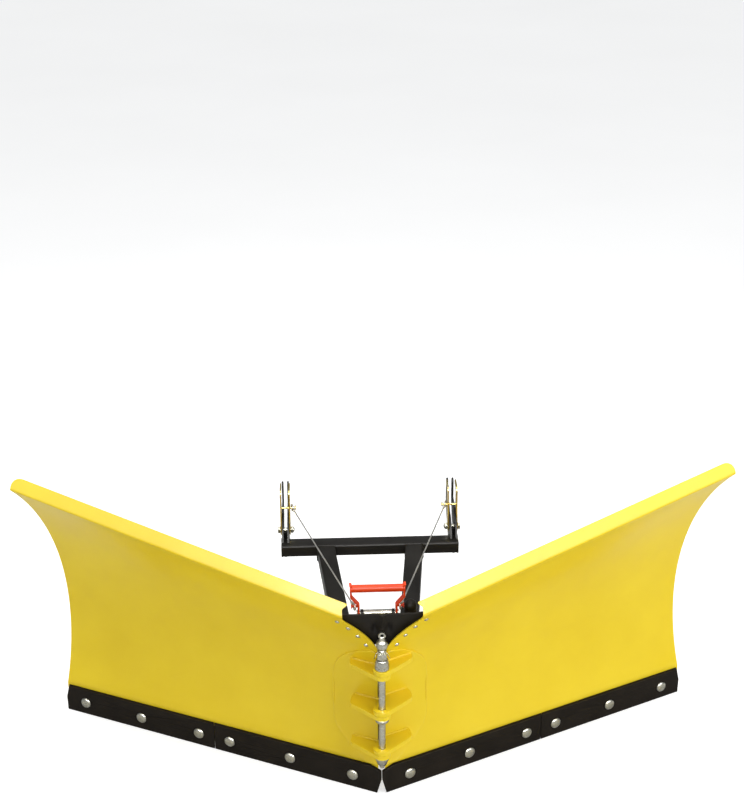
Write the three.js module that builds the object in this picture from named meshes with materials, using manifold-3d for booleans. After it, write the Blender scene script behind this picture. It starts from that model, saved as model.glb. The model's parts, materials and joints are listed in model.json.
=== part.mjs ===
// V-plow for a quad bike: two curved wings on one upright hinge pin, a trip carrier,
// a push frame with quick-release hooks, and the red handle that opens the hooks.
//
// Millimetres. X to the right, Y to the rear, Z up. While it is being modelled the
// hinge pin's axis stands on X = Y = 0, and Z = 0 is the ground under the cutting edges.
// The last lines move the finished object so that its box is centred over the origin.

import * as THREE from 'three';
import { mergeVertices } from 'three/addons/utils/BufferGeometryUtils.js';
import Module from 'manifold-3d';

const wasm = await Module();
wasm.setup();

// ---------------------------------------------------------------- driving dimensions

const GAP = 0.3;                        // running and assembly clearance
const DEG = Math.PI / 180;

const WING = {
  sweep: 25 * DEG,                      // each wing is swept back by this angle
  length: 750,                          // hinge axis to outer end
  sheet: 3,                             // moldboard steel
  foot: { b: 17, bottom: 12, top: 65 }, // upright strip behind the cutting edge
  radius: 476.5,                        // moldboard's curve at the outer end
  start: -22.25 * DEG,                  // the curve's lower and upper ends, from level
  end: 46.7 * DEG,
  facets: 14,                           // flat steps that stand for the curve
  inner: { s: 50, scale: 0.722 },       // the curve shrinks towards the hinge
  flange: { length: 29, b: 0.506, z: 0.863, corner: 22 },
  clearance: 6.6,                       // inner edge to the middle plane
};

const EDGE = { height: 62, thick: 8, split: 384, chamfer: 8, bevelFrom: 33 };
const BOLTS = [67.8, 207.7, 347.6, 420.6, 560.5, 700.4];
const BOLT = { z: 30.3, head: 12, rise: 6, shank: 5, nut: 9.2, nutThick: 8 };

const PIN = { radius: 6.8, bore: 7.2, eye: 17 };
const LUG = {
  right: [[113.6, 122.8], [206.7, 215.9], [299.5, 308.7]],
  left: [[103.8, 113], [196.9, 206.1], [289.7, 298.9]],
  reach: 76,                            // outer end; its front corner is rounded
};
const DOUBLER = {
  thick: 3,
  edge: [[40, 66], [66, 84], [94, 106], [115, 128], [121, 160], [121, 232], [114, 269],
    [102, 290], [70, 314], [30, 334]],
};

const INDEX = { radius: 132, hole: 6.6, step: 12.5, first: 30, rim: 150, root: 95, thick: 6 };
const INDEX_Z = { right: 150, left: 140 };
const LOCK = { angle: 55 * DEG, pin: 6, plate: 166, top: 215 };

const BEAM = { from: 170, to: 660, b: 57, z: 195, size: 36, wall: 3 };
const RIB = { thick: 5, depth: 62, tip: 14, places: { inner: 200, outer: 600 } };

const TRIP = { y: 88, z: 98, pin: 8, boss: 15, half: 34 };
const FIN = { thick: 10, front: 20.5, back: 122, bottom: 74, top: 333 };
const SPRING = { x: 17.2, front: [100, 285], rear: [198, 240], coil: 10, wire: 3 };

const TUBE = { half: 206, y: 602, z: 234, deep: 40, high: 30, wall: 3 };
const LEG = { size: 40, wall: 3, rear: [103, 590, 229], front: [62, 215, 186] };
const HEAD = { half: 85, front: 185, back: 215, bottom: 150, top: 215, wall: 4 };
const CHEEK = { inner: 36.5, thick: 8 };

const LIFT = { y: 190, z: 313, radius: 7, half: 41, cap: 1.7 };
const EAR = { x: 29, thick: 6, half: 8 };
const HANDLE = { foot: 38.5, wide: 54, strap: 4, width: 14, bend: [20, 40], grip: 58, top: 68 };
const STUD = { arm: 14, lean: 22.5 * DEG, radius: 2.5 };

const LATCH = { x: 196, plate: 4, pitch: 6.35, pivot: [640, 261], arm: [655, 311] };
const WIRE = { radius: 1.5, eye: 7.5, front: 47.5, rear: 179.5 };

const FLAP = { thick: 5, low: 352, high: 436, foot: 17.5, lean: 0.33, lap: 20 };
const BUFFER = { x: 68, y: 203, radius: 13.5, crown: 334, post: 8 };

// ---------------------------------------------------------------- materials

const finish = (color, roughness, metalness) => () =>
  new THREE.MeshStandardMaterial({ color, roughness, metalness });

const yellow = finish(0xe8c81e, 0.35, 0.0);
const black = finish(0x17171a, 0.45, 0.1);
const wearSteel = finish(0x1d1b18, 0.55, 0.3);
const zinc = finish(0xb9bab4, 0.35, 0.9);
const goldZinc = finish(0xa99a55, 0.35, 0.85);
const red = finish(0xf0381c, 0.4, 0.0);
const rubber = finish(0x141414, 0.8, 0.0);
const springSteel = finish(0x3a3a3c, 0.4, 0.8);

// ---------------------------------------------------------------- shape helpers

// A closed geometry becomes a solid once its shared corners are merged.
function solid(geometry) {
  const bare = geometry.clone();
  bare.deleteAttribute('normal');
  bare.deleteAttribute('uv');
  const merged = mergeVertices(bare, 1e-4);
  return new wasm.Manifold(new wasm.Mesh({
    numProp: 3,
    vertProperties: new Float32Array(merged.attributes.position.array),
    triVerts: new Uint32Array(merged.index.array),
  }));
}

function geometryOf(manifold) {
  const mesh = manifold.getMesh();
  const geometry = new THREE.BufferGeometry();
  geometry.setAttribute('position', new THREE.BufferAttribute(mesh.vertProperties, 3));
  geometry.setIndex(new THREE.BufferAttribute(mesh.triVerts, 1));
  geometry.computeVertexNormals();
  return geometry;
}

const join = (...pieces) => pieces.reduce((sum, piece) => sum.add(piece));
const cut = (body, ...tools) => tools.reduce((rest, tool) => rest.subtract(tool), body);

// A box from its lowest to its highest corner.
function box(low, high) {
  const size = high.map((value, i) => value - low[i]);
  const middle = high.map((value, i) => (value + low[i]) / 2);
  return solid(new THREE.BoxGeometry(...size).translate(...middle));
}

// A round bar between two points.
function rod(from, to, radius, sides = 16) {
  const start = new THREE.Vector3(...from);
  const along = new THREE.Vector3(...to).sub(start);
  const turn = new THREE.Quaternion().setFromUnitVectors(
    new THREE.Vector3(0, 1, 0), along.clone().normalize());
  const bar = new THREE.CylinderGeometry(radius, radius, along.length(), sides);
  const middle = start.addScaledVector(along, 0.5);
  return solid(bar.applyQuaternion(turn).translate(middle.x, middle.y, middle.z));
}

// A flat plate: the outline's two coordinates lie on axes u and v, its thickness on w.
function plate(outline, from, to, axes) {
  const shape = outline instanceof THREE.Shape
    ? outline
    : new THREE.Shape(outline.map(([u, v]) => new THREE.Vector2(u, v)));
  const body = new THREE.ExtrudeGeometry(
    shape, { depth: to - from, bevelEnabled: false, curveSegments: 6 });
  body.translate(0, 0, from);
  return solid(body.applyMatrix4(axes));
}

const basis = (u, v, w) => new THREE.Matrix4().makeBasis(
  new THREE.Vector3(...u), new THREE.Vector3(...v), new THREE.Vector3(...w));
const FLAT = basis([1, 0, 0], [0, 1, 0], [0, 0, 1]);       // outline x, y; thickness z
const SIDE = basis([0, 1, 0], [0, 0, 1], [1, 0, 0]);       // outline y, z; thickness x
const FRONT = basis([1, 0, 0], [0, 0, 1], [0, -1, 0]);     // outline x, z; thickness -y

// A turned piece on the Z axis, from its radius and height pairs.
function turned(profile, sides = 16) {
  const points = profile.map(([r, z]) => new THREE.Vector2(r, z));
  return solid(new THREE.LatheGeometry(points, sides).rotateX(Math.PI / 2));
}

// A hexagonal piece standing on the Z axis, measured across its corners.
function hexagon(radius, low, high) {
  const body = new THREE.CylinderGeometry(radius, radius, high - low, 6);
  return solid(body.rotateX(Math.PI / 2).translate(0, 0, (high + low) / 2));
}

const mirrored = (manifold) => {
  const geometry = geometryOf(manifold).scale(-1, 1, 1);
  const index = geometry.index.array;
  for (let i = 0; i < index.length; i += 3) {
    [index[i], index[i + 1]] = [index[i + 1], index[i]];
  }
  return solid(geometry);
};

const object = new THREE.Group();

function mesh(parent, name, manifold, material) {
  const node = new THREE.Mesh(geometryOf(manifold), material());
  node.name = name;
  parent.add(node);
}

// Right-hand pieces are modelled; the left-hand ones are their mirror images.
function pair(name, manifold, material) {
  mesh(object, `right_${name}`, manifold, material);
  mesh(object, `left_${name}`, mirrored(manifold), material);
}

// ---------------------------------------------------------------- moldboard surface
// A wing is drawn flat, with s outward from the hinge axis, b backward and z up.
// Every cross-section is the same arc, scaled about the top of the foot strip.

const scaleAt = (s) => WING.inner.scale
  + (1 - WING.inner.scale) * (s - WING.inner.s) / (WING.length - WING.inner.s);

// The point of the arc at an angle, moved back from the front face by an offset.
function arcPoint(s, angle, offset) {
  const radius = WING.radius * scaleAt(s);
  const b = WING.foot.b - radius * Math.cos(WING.start);
  const z = WING.foot.top - radius * Math.sin(WING.start);
  return [b + (radius + offset) * Math.cos(angle), z + (radius + offset) * Math.sin(angle)];
}

// A closed solid between two cross-sections that have the same number of corners.
function loft(s0, s1, section) {
  const flat = (ring) => ring.map(([b, z]) => new THREE.Vector2(b, z));
  const clockwise = THREE.ShapeUtils.isClockWise(flat(section(s0)));
  const rings = [s0, s1].map((s) => (clockwise ? section(s).reverse() : section(s)));
  const count = rings[0].length;
  const points = rings.flatMap((ring, i) => ring.flatMap(([b, z]) => [i ? s1 : s0, b, z]));
  const index = [];
  for (const [i, j, k] of THREE.ShapeUtils.triangulateShape(flat(rings[0]), [])) {
    index.push(i, k, j, count + i, count + j, count + k);
  }
  for (let i = 0; i < count; i += 1) {
    const j = (i + 1) % count;
    index.push(i, j, count + j, i, count + j, count + i);
  }
  const geometry = new THREE.BufferGeometry();
  geometry.setAttribute('position', new THREE.Float32BufferAttribute(points, 3));
  geometry.setIndex(index);
  return solid(geometry);
}

const facetAngle = (i) => WING.start + (WING.end - WING.start) * i / WING.facets;

// Part of the curved face as a solid: from a front offset to a back offset, between
// two of the curve's facet corners, so that it lies flat against the folded sheet.
function curved(s0, s1, front, back, { first = 0, last = WING.facets } = {}) {
  const depth = typeof back === 'function' ? back : () => back;
  const section = (s) => {
    const ahead = [];
    const behind = [];
    for (let i = first; i <= last; i += 1) {
      ahead.push(arcPoint(s, facetAngle(i), front));
      behind.unshift(arcPoint(s, facetAngle(i), depth((i - first) / (last - first))));
    }
    return [...ahead, ...behind];
  };
  return loft(s0, s1, section);
}

// The whole folded sheet: foot strip, arc and top flange.
function sheetSection(s) {
  const { foot, sheet, flange } = WING;
  const front = [[foot.b, foot.bottom]];
  const back = [[foot.b + sheet, foot.bottom]];
  for (let i = 0; i <= WING.facets; i += 1) {
    front.push(arcPoint(s, facetAngle(i), 0));
    back.push(arcPoint(s, facetAngle(i), sheet));
  }
  const [lipB, lipZ] = arcPoint(s, WING.end, 0);
  const tip = [lipB + flange.b * flange.length, lipZ + flange.z * flange.length];
  front.push(tip);
  back.push([tip[0] + flange.z * sheet, tip[1] - flange.b * sheet]);
  return [...front, ...back.reverse()];
}

// ---------------------------------------------------------------- wing pieces

// The middle gap, drawn as it is seen from the front with the wings swept back.
function middleOpening() {
  const outline = new THREE.Shape();
  outline.moveTo(-60, -20);
  outline.lineTo(WING.clearance, -20);
  outline.lineTo(WING.clearance, 342);
  outline.lineTo(10, 350);
  outline.quadraticCurveTo(30, 395, 75, 427);
  outline.lineTo(75.3, 461);
  outline.lineTo(66, 468);
  outline.lineTo(66, 700);
  outline.lineTo(-60, 700);
  outline.closePath();
  const body = new THREE.ExtrudeGeometry(
    outline, { depth: 400, bevelEnabled: false, curveSegments: 10 });
  body.translate(0, 0, -200).applyMatrix4(FRONT).rotateZ(-WING.sweep);
  return solid(body);
}

// Cuts away everything behind the sheet's front face, or in front of its back face.
const behindFace = () => join(
  curved(-60, 800, -GAP, 160, { first: -1 }),
  box([-60, WING.foot.b - GAP, -5], [800, 200, WING.foot.top]));
const aheadOfBack = () => join(
  curved(-60, 800, -90, WING.sheet + GAP, { first: -1 }),
  box([-60, -120, -5], [800, WING.foot.b + WING.sheet + GAP, WING.foot.top]));

const boltHole = (s, radius) => rod([s, 0, BOLT.z], [s, 60, BOLT.z], radius, 12);

// What the rounding of the flange's outer corner takes away.
function flangeCorner() {
  const { corner, length, b: fb, z: fz } = WING.flange;
  const outline = new THREE.Shape();
  outline.moveTo(WING.length - corner, length + 1);
  outline.lineTo(WING.length - corner, length);
  outline.absarc(WING.length - corner, length - corner, corner, Math.PI / 2, 0, true);
  outline.lineTo(WING.length + 1, length - corner);
  outline.lineTo(WING.length + 1, length + 1);
  outline.closePath();
  const [b, z] = arcPoint(WING.length, WING.end, 0);
  const along = basis([1, 0, 0], [0, fb, fz], [0, -fz, fb]);
  return plate(outline, -8, 6, along.setPosition(0, b, z));
}

function moldboard() {
  const holes = BOLTS.map((s) => boltHole(s, BOLT.shank + 0.4));
  return cut(loft(0, WING.length, sheetSection), middleOpening(), flangeCorner(), ...holes);
}

// Lug seen from above: an eye on the pin, widening outward to where it is welded.
function lug([low, high]) {
  const outline = new THREE.Shape();
  outline.moveTo(LUG.reach, 60);
  outline.lineTo(30, 60);
  outline.lineTo(12, 12);
  outline.absarc(0, 0, PIN.eye, 45 * DEG, -72 * DEG, false);
  outline.lineTo(LUG.reach - 12, 3);
  outline.quadraticCurveTo(LUG.reach - 6, 5, LUG.reach - 4, 10);
  outline.lineTo(LUG.reach, 24);
  outline.closePath();
  return plate(outline, low, high, FLAT);
}

function hingePlate(levels) {
  const { thick, edge } = DOUBLER;
  const outline = [[-40, 60], ...edge, [-40, 334]];
  const doubler = curved(-40, 140, -thick, 8, { last: 10 })
    .intersect(plate(outline, -150, 150, FRONT));
  const bore = rod([0, 0, 50], [0, 0, 340], PIN.bore, 20);
  const eyes = levels.map(([z0, z1]) => plate(eyeOutline(), z0, z1, FLAT));
  const fins = levels.map(lug);
  const welded = cut(join(doubler, ...fins), behindFace(), middleOpening());
  return cut(join(welded, ...eyes), bore);
}

function eyeOutline() {
  const outline = new THREE.Shape();
  outline.absarc(0, 0, PIN.eye, 0, Math.PI * 2, false);
  return outline;
}

function beam() {
  const { from, to, b, z, size, wall } = BEAM;
  return cut(
    box([from, b, z], [to, b + size, z + size]),
    box([from - 5, b + wall, z + wall], [to + 5, b + size - wall, z + size - wall]));
}

function rib(s) {
  const depth = (t) => RIB.tip + (RIB.depth - RIB.tip) * Math.sin(Math.PI * t) ** 0.8;
  const { b, z, size } = BEAM;
  return cut(
    curved(s, s + RIB.thick, WING.sheet + GAP, depth, { last: WING.facets - 1 }),
    box([s - 5, b - 20, z - GAP], [s + RIB.thick + 5, b + size + GAP, z + size + GAP]));
}

// Index plate: a fan behind the wing with one hole for each setting of the wing.
function indexPlate(low) {
  const { radius, hole, step, first, rim, root, thick } = INDEX;
  const at = (r, degrees) => [r * Math.cos(degrees * DEG), r * Math.sin(degrees * DEG)];
  const outline = new THREE.Shape();
  outline.moveTo(...at(rim, 12));
  outline.absarc(0, 0, rim, 12 * DEG, 87 * DEG, false);
  outline.lineTo(...at(root, 87));
  outline.absarc(0, 0, root, 87 * DEG, 52 * DEG, true);
  outline.lineTo(48, 30);
  outline.closePath();
  for (let i = 0; i < 5; i += 1) {
    const path = new THREE.Path();
    path.absarc(...at(radius, first + i * step), hole, 0, Math.PI * 2, false);
    outline.holes.push(path);
  }
  return cut(plate(outline, low, low + thick, FLAT), aheadOfBack());
}

// Cutting edge: two bars per wing, the inner one slanted where the wings meet.
function innerEdge() {
  const front = WING.foot.b - GAP - EDGE.thick;
  const outline = [[14.5, 0], [EDGE.split - 0.5, 0], [EDGE.split - 0.5, EDGE.height],
    [30, EDGE.height], [0, 52], [0, 38], [4.7, 36]];
  const bar = plate(outline, -front - EDGE.thick, -front, FRONT);
  const middle = geometryOf(box([-60, -60, -5], [0.4, 60, 80])).rotateZ(-WING.sweep);
  const holes = BOLTS.slice(0, 3).map((s) => boltHole(s, BOLT.shank + 0.4));
  return cut(bar, solid(middle), ...holes);
}

function outerEdge() {
  const front = WING.foot.b - GAP - EDGE.thick;
  const outline = [[EDGE.split + 0.5, 0], [WING.length, 0], [WING.length, EDGE.bevelFrom],
    [WING.length - EDGE.chamfer, EDGE.height], [EDGE.split + 0.5, EDGE.height]];
  const bar = plate(outline, -front - EDGE.thick, -front, FRONT);
  return cut(bar, ...BOLTS.slice(3).map((s) => boltHole(s, BOLT.shank + 0.4)));
}

// Carriage bolt with its nut. It is turned on the Z axis, then laid along b.
function edgeBolt(s) {
  const { head, rise, shank, nut, nutThick, z } = BOLT;
  const face = WING.foot.b - GAP - EDGE.thick - GAP;
  const back = WING.foot.b + WING.sheet + GAP;
  const dome = [[0, rise], [head * 0.45, rise * 0.86], [head * 0.8, rise * 0.5], [head, 0]];
  const stem = [[shank, 0], [shank, face - back - nutThick - 4], [0, face - back - nutThick - 4]];
  const bolt = turned([...dome, ...stem].reverse(), 12);
  const body = join(bolt, hexagon(nut, face - back - nutThick, face - back));
  const laid = geometryOf(body).rotateX(Math.PI / 2).translate(s, face, z);
  return solid(laid);
}

// Rubber flap: a lap behind the sheet and a web that reaches the middle plane.
function flap() {
  const { thick, low, high, foot, lean, lap } = FLAP;
  const web = new THREE.Shape();
  web.moveTo(1.5, low);
  web.lineTo(14, low);
  web.quadraticCurveTo(32, 393, 80, high - 4);
  web.lineTo(80, high);
  web.lineTo(1.5, high);
  web.closePath();
  const body = new THREE.ExtrudeGeometry(
    web, { depth: thick, bevelEnabled: false, curveSegments: 8 });
  const shear = new THREE.Matrix4().set(1, 0, 0, 0, 0, 1, -lean, 0, 0, 0, 1, 0, 0, 0, 0, 1);
  body.applyMatrix4(FRONT).applyMatrix4(shear);
  body.translate(0, foot + thick + lean * 350, 0).rotateZ(-WING.sweep);
  const band = new THREE.Shape();
  band.moveTo(8, low - 12);
  band.lineTo(30, low - 12);
  band.quadraticCurveTo(42 + lap / 2, 388 - lap / 2, 88, 412);
  band.lineTo(88, high);
  band.lineTo(70, high);
  band.quadraticCurveTo(24, 392, 8, low);
  band.closePath();
  const strip = plateBehind(band).intersect(curved(0, 120, WING.sheet + 0.5, WING.sheet + 6.5));
  return cut(join(solid(body), strip), aheadOfBack());
}

// A seen-from-the-front outline, carried straight through the swept-back wing.
function plateBehind(outline) {
  const body = new THREE.ExtrudeGeometry(
    outline, { depth: 400, bevelEnabled: false, curveSegments: 8 });
  return solid(body.translate(0, 0, -200).applyMatrix4(FRONT).rotateZ(-WING.sweep));
}

function wing(side) {
  const turn = side === 'right' ? WING.sweep : -WING.sweep;
  const group = new THREE.Group();
  group.rotation.z = turn;
  object.add(group);
  const hand = side === 'right' ? (body) => body : mirrored;
  const add = (name, body, material) => mesh(group, `${side}_${name}`, hand(body), material);
  add('moldboard', moldboard(), yellow);
  add('hinge_plate', hingePlate(LUG[side]), yellow);
  add('back_beam', beam(), yellow);
  add('inner_rib', rib(RIB.places.inner), yellow);
  add('outer_rib', rib(RIB.places.outer), yellow);
  add('index_plate', indexPlate(INDEX_Z[side]), black);
  add('inner_cutting_edge', innerEdge(), wearSteel);
  add('outer_cutting_edge', outerEdge(), wearSteel);
  BOLTS.forEach((s, i) => add(`edge_bolt_${i + 1}`, edgeBolt(s), zinc));
  add('rubber_flap', flap(), rubber);
}

// ---------------------------------------------------------------- trip carrier

// The carrier stands behind the hinge pin: an upright fin on a pivot boss, with the
// plate that guides the two lock pins and the bar that the return springs pull on.
function carrier() {
  const { front, back, bottom, top, thick } = FIN;
  const outline = [[front, bottom], [back, bottom], [back, 134], [92, 134], [92, 162],
    [back, 162], [back, 250], [back - 6, 292], [72, top], [front, top]];
  const fin = plate(outline, -thick / 2, thick / 2, SIDE);
  const { radius } = INDEX;
  const [px, py] = [radius * Math.cos(LOCK.angle), radius * Math.sin(LOCK.angle)];
  const right = [[12, 70], [60, 91], [92, 106], [92, 122], [62, 132], [0, 132]];
  const left = right.slice(0, -1).reverse().map(([x, y]) => [-x, y]);
  const shelf = plate([...right, ...left], LOCK.plate, LOCK.plate + 6, FLAT);
  const boss = rod([-TRIP.half, TRIP.y, TRIP.z], [TRIP.half, TRIP.y, TRIP.z], TRIP.boss);
  const [sy, sz] = SPRING.front;
  const bar = rod([-32, sy, sz], [32, sy, sz], 6, 16);
  const sleeves = [px, -px].map((x) => rod([x, py, LOCK.plate], [x, py, LOCK.top], 10.5));
  const bores = [px, -px].map((x) => rod([x, py, 100], [x, py, 260], LOCK.pin + 0.4));
  const pivot = rod([-60, TRIP.y, TRIP.z], [60, TRIP.y, TRIP.z], TRIP.pin + 0.4);
  return cut(join(fin, shelf, boss, bar, ...sleeves), pivot, ...bores);
}

// Clamp block: a turned ring on the pin with a tongue back to the fin.
function pinBlock(profile, low, high) {
  const ring = turned(profile, 20);
  const tongue = box([-5, 8, low], [5, FIN.front - GAP, high]);
  const bore = rod([0, 0, low - 5], [0, 0, high + 5], PIN.radius + GAP, 20);
  return cut(join(ring, tongue), bore);
}

const onPin = (profile) => cut(
  turned(profile, 20), rod([0, 0, 40], [0, 0, 345], PIN.radius + GAP, 20));

function hingePin() {
  const { radius } = PIN;
  return turned([[0, 75], [5, 76], [5, 81], [radius, 83], [radius, 348], [5.2, 349], [5.2, 367],
    [0, 367]], 20);
}

function castleNut() {
  const slots = [0, 60, 120].map((turn) => {
    const slot = new THREE.BoxGeometry(30, 3, 8).rotateZ(turn * DEG);
    return solid(slot.translate(0, 0, 349));
  });
  const bore = rod([0, 0, 310], [0, 0, 355], PIN.radius + GAP, 20);
  return cut(join(hexagon(10.4, 330.5, 343), turned([[0, 343], [9, 343], [9, 351], [0, 351]])),
    bore, ...slots);
}

function eyeNut() {
  const collar = turned([[0, 354], [9.5, 354], [11.3, 360], [11.3, 366], [8.5, 372], [5, 376],
    [5, 382], [0, 382]]);
  const ring = rod([0, -3.5, 383.4], [0, 3.5, 383.4], 7.8);
  const hole = rod([0, -9, 385.5], [0, 9, 385.5], 2.6, 16);
  const bore = rod([0, 0, 340], [0, 0, 367.5], 5.6, 24);
  return cut(join(collar, ring), hole, bore);
}

// Lock pin with its knob, raised clear of the index plate.
function lockPin(side) {
  const sign = side === 'right' ? 1 : -1;
  const tip = INDEX_Z[side] + INDEX.thick + 3;
  const body = turned([[0, tip], [4.5, tip], [LOCK.pin, tip + 3], [LOCK.pin, 236], [13, 238],
    [14, 246], [11, 252], [0, 254]]);
  const x = sign * INDEX.radius * Math.cos(LOCK.angle);
  const y = INDEX.radius * Math.sin(LOCK.angle);
  return solid(geometryOf(body).translate(x, y, 0));
}

// Return spring: a plain sleeve of the coil's outer size, hooked between its bars.
function returnSpring(x) {
  const [y0, z0] = SPRING.front;
  const [y1, z1] = SPRING.rear;
  const length = Math.hypot(y1 - y0, z1 - z0);
  const along = [(y1 - y0) / length, (z1 - z0) / length];
  const at = (distance) => [x, y0 + along[0] * distance, z0 + along[1] * distance];
  const sleeve = rod(at(9), at(length - 9), SPRING.coil, 14);
  const hollow = rod(at(5), at(length - 5), SPRING.coil - SPRING.wire, 14);
  return cut(sleeve, hollow);
}

// ---------------------------------------------------------------- push frame

function crossTube() {
  const { half, y, z, deep, high, wall } = TUBE;
  const low = [-half, y - deep / 2, z - high / 2];
  const top = [half, y + deep / 2, z + high / 2];
  const hollow = box(low.map((v) => v + wall), top.map((v) => v - wall));
  const drain = rod([0, y, z - high / 2 - 5], [0, y, z - 5], 5, 16);
  const pegs = [-LATCH.x, LATCH.x].map((x) =>
    rod([x, y, z - high / 2 - 8], [x, y, z - high / 2 + 2], 6, 16));
  return cut(join(box(low, top), ...pegs), hollow, drain);
}

function leg() {
  const rear = new THREE.Vector3(...LEG.rear);
  const front = new THREE.Vector3(...LEG.front);
  const along = rear.clone().sub(front).normalize();
  const across = new THREE.Vector3().crossVectors(along, new THREE.Vector3(0, 0, 1)).normalize();
  const up = new THREE.Vector3().crossVectors(across, along);
  const place = new THREE.Matrix4().makeBasis(across, along, up)
    .setPosition(rear.clone().add(front).multiplyScalar(0.5));
  const bar = (size, extra) => solid(
    new THREE.BoxGeometry(size, rear.distanceTo(front) + extra, size).applyMatrix4(place));
  const tube = cut(bar(LEG.size, 60), bar(LEG.size - 2 * LEG.wall, 90));
  const span = box([0, HEAD.back + GAP, 100], [200, TUBE.y - TUBE.deep / 2 - GAP, 300]);
  return tube.intersect(span);
}

function frontHead() {
  const { half, front, back, bottom, top, wall } = HEAD;
  const tube = cut(
    box([-half, front, bottom], [half, back, top]),
    box([-half - 5, front + wall, bottom + wall], [half + 5, back - wall, top - wall]));
  const cheek = new THREE.Shape();
  cheek.absarc(TRIP.y, TRIP.z, 18, Math.PI / 2, -Math.PI / 2, false);
  cheek.lineTo(150, 84);
  cheek.lineTo(front + 2, bottom);
  cheek.lineTo(front + 2, 205);
  cheek.lineTo(162, 128);
  cheek.closePath();
  const cheeks = [CHEEK.inner, -CHEEK.inner - CHEEK.thick].map((x) =>
    plate(cheek, x, x + CHEEK.thick, SIDE));
  const ear = [[LIFT.y - 14, top - 2], [LIFT.y + 18, top - 2], [LIFT.y + 14, 250],
    [LIFT.y + EAR.half, LIFT.z], [LIFT.y + 5, LIFT.z + 7], [LIFT.y - 5, LIFT.z + 7],
    [LIFT.y - EAR.half, LIFT.z]];
  const ears = [EAR.x, -EAR.x - EAR.thick].map((x) => plate(ear, x, x + EAR.thick, SIDE));
  const [sy, sz] = SPRING.rear;
  const anchor = rod([-EAR.x - 2, sy, sz], [EAR.x + 2, sy, sz], 5, 16);
  const pivot = rod([-60, TRIP.y, TRIP.z], [60, TRIP.y, TRIP.z], TRIP.pin + GAP);
  const seat = rod([-60, LIFT.y, LIFT.z], [60, LIFT.y, LIFT.z], LIFT.radius * 0.72 + GAP, 20);
  return cut(join(tube, ...cheeks, ...ears, anchor), pivot, seat);
}

// Lift bar: thick where the hoist hook pulls, turned down where the ears hold it.
function liftBar() {
  const { y, z, radius, half, cap } = LIFT;
  const spindle = radius * 0.72;
  const across = (from, to, r) => rod([from, y, z], [to, y, z], r, 20);
  const inner = EAR.x - GAP;
  const end = half + cap;
  return join(across(-end, end, spindle), across(-inner, inner, radius),
    across(-end, -half, radius), across(half, end, radius));
}

function tripPin() {
  const across = (from, to, r) => rod([from, TRIP.y, TRIP.z], [to, TRIP.y, TRIP.z], r);
  const reach = CHEEK.inner + CHEEK.thick;
  return join(across(-reach - 8, reach + 1, TRIP.pin), across(reach + GAP, reach + 6, 12),
    across(-reach - 6, -reach - GAP, 11));
}

function liftBuffer() {
  const { x, y, radius, crown, post } = BUFFER;
  const shoulder = crown - radius;
  const dome = [0, 22, 45, 67].map((d) =>
    [radius * Math.sin(d * DEG), shoulder + radius * Math.cos(d * DEG)]);
  const profile = [...dome, [radius, shoulder], [radius, shoulder - 16], [post, shoulder - 22],
    [post, HEAD.top + GAP], [0, HEAD.top + GAP]];
  return solid(geometryOf(turned(profile.reverse())).translate(x, y, 0));
}

// ---------------------------------------------------------------- quick-release hooks

// Upright: two side plates with an open seat for the vehicle's cross bar.
function upright() {
  const back = TUBE.y + TUBE.deep / 2 + GAP;
  const top = TUBE.z + TUBE.high / 2 + GAP;
  const outline = [[598, top], [612, 276], [628, 290], [652, 291], [672, 308], [674, 304],
    [680, 300], [702, 300], [708, 304], [711, 347], [723, 347], [730, 336], [730, 288],
    [704, 252], [664, 226], [back, 222], [back, top]];
  const at = [LATCH.pitch, -LATCH.pitch].map((x) => LATCH.x + x - LATCH.plate / 2);
  const plates = at.map((x) => plate(outline, x, x + LATCH.plate, SIDE));
  const web = box([LATCH.x - 7, back + 1, 232], [LATCH.x + 7, back + 9, 262]);
  const [py, pz] = LATCH.pivot;
  const hole = rod([LATCH.x - 30, py, pz], [LATCH.x + 30, py, pz], 5 + GAP, 20);
  return cut(join(...plates, web), hole);
}

// Hook: two outer plates on one cross pin, which also takes the wire's eye.
function hook() {
  const [py, pz] = LATCH.pivot;
  const [ay, az] = LATCH.arm;
  const outline = new THREE.Shape();
  outline.moveTo(py - 12, pz);
  outline.lineTo(643, 306);
  outline.lineTo(646, 346);
  outline.lineTo(656, 358);
  outline.lineTo(684, 358);
  outline.lineTo(690, 348);
  outline.lineTo(674, 346);
  outline.quadraticCurveTo(668, 344, 668, 334);
  outline.lineTo(666, 300);
  outline.lineTo(py + 12, pz);
  outline.absarc(py, pz, 12, 0, -Math.PI, true);
  outline.closePath();
  const start = LATCH.pitch + LATCH.plate / 2 + GAP;
  const plates = [LATCH.x + start, LATCH.x - start - 3].map((x) => plate(outline, x, x + 3, SIDE));
  const pin = rod([WIRE.rear - 6, ay, az], [LATCH.x + start + 2, ay, az], STUD.radius, 12);
  const cap = rod([WIRE.rear - 9, ay, az], [WIRE.rear - 6, ay, az], 5, 12);
  const hole = rod([LATCH.x - 40, py, pz], [LATCH.x + 40, py, pz], 5 + 0.4, 20);
  return cut(join(...plates, pin, cap), hole);
}

function hookBolt() {
  const [y, z] = LATCH.pivot;
  const across = (from, to, r, sides = 20) =>
    rod([LATCH.x + from, y, z], [LATCH.x + to, y, z], r, sides);
  return join(across(-18, 14, 5), across(11.9 + GAP, 18, 9, 6), across(-18, -11.9 - GAP, 9, 6),
    across(-21, -17, 6));
}

// ---------------------------------------------------------------- handle and wires

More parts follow.
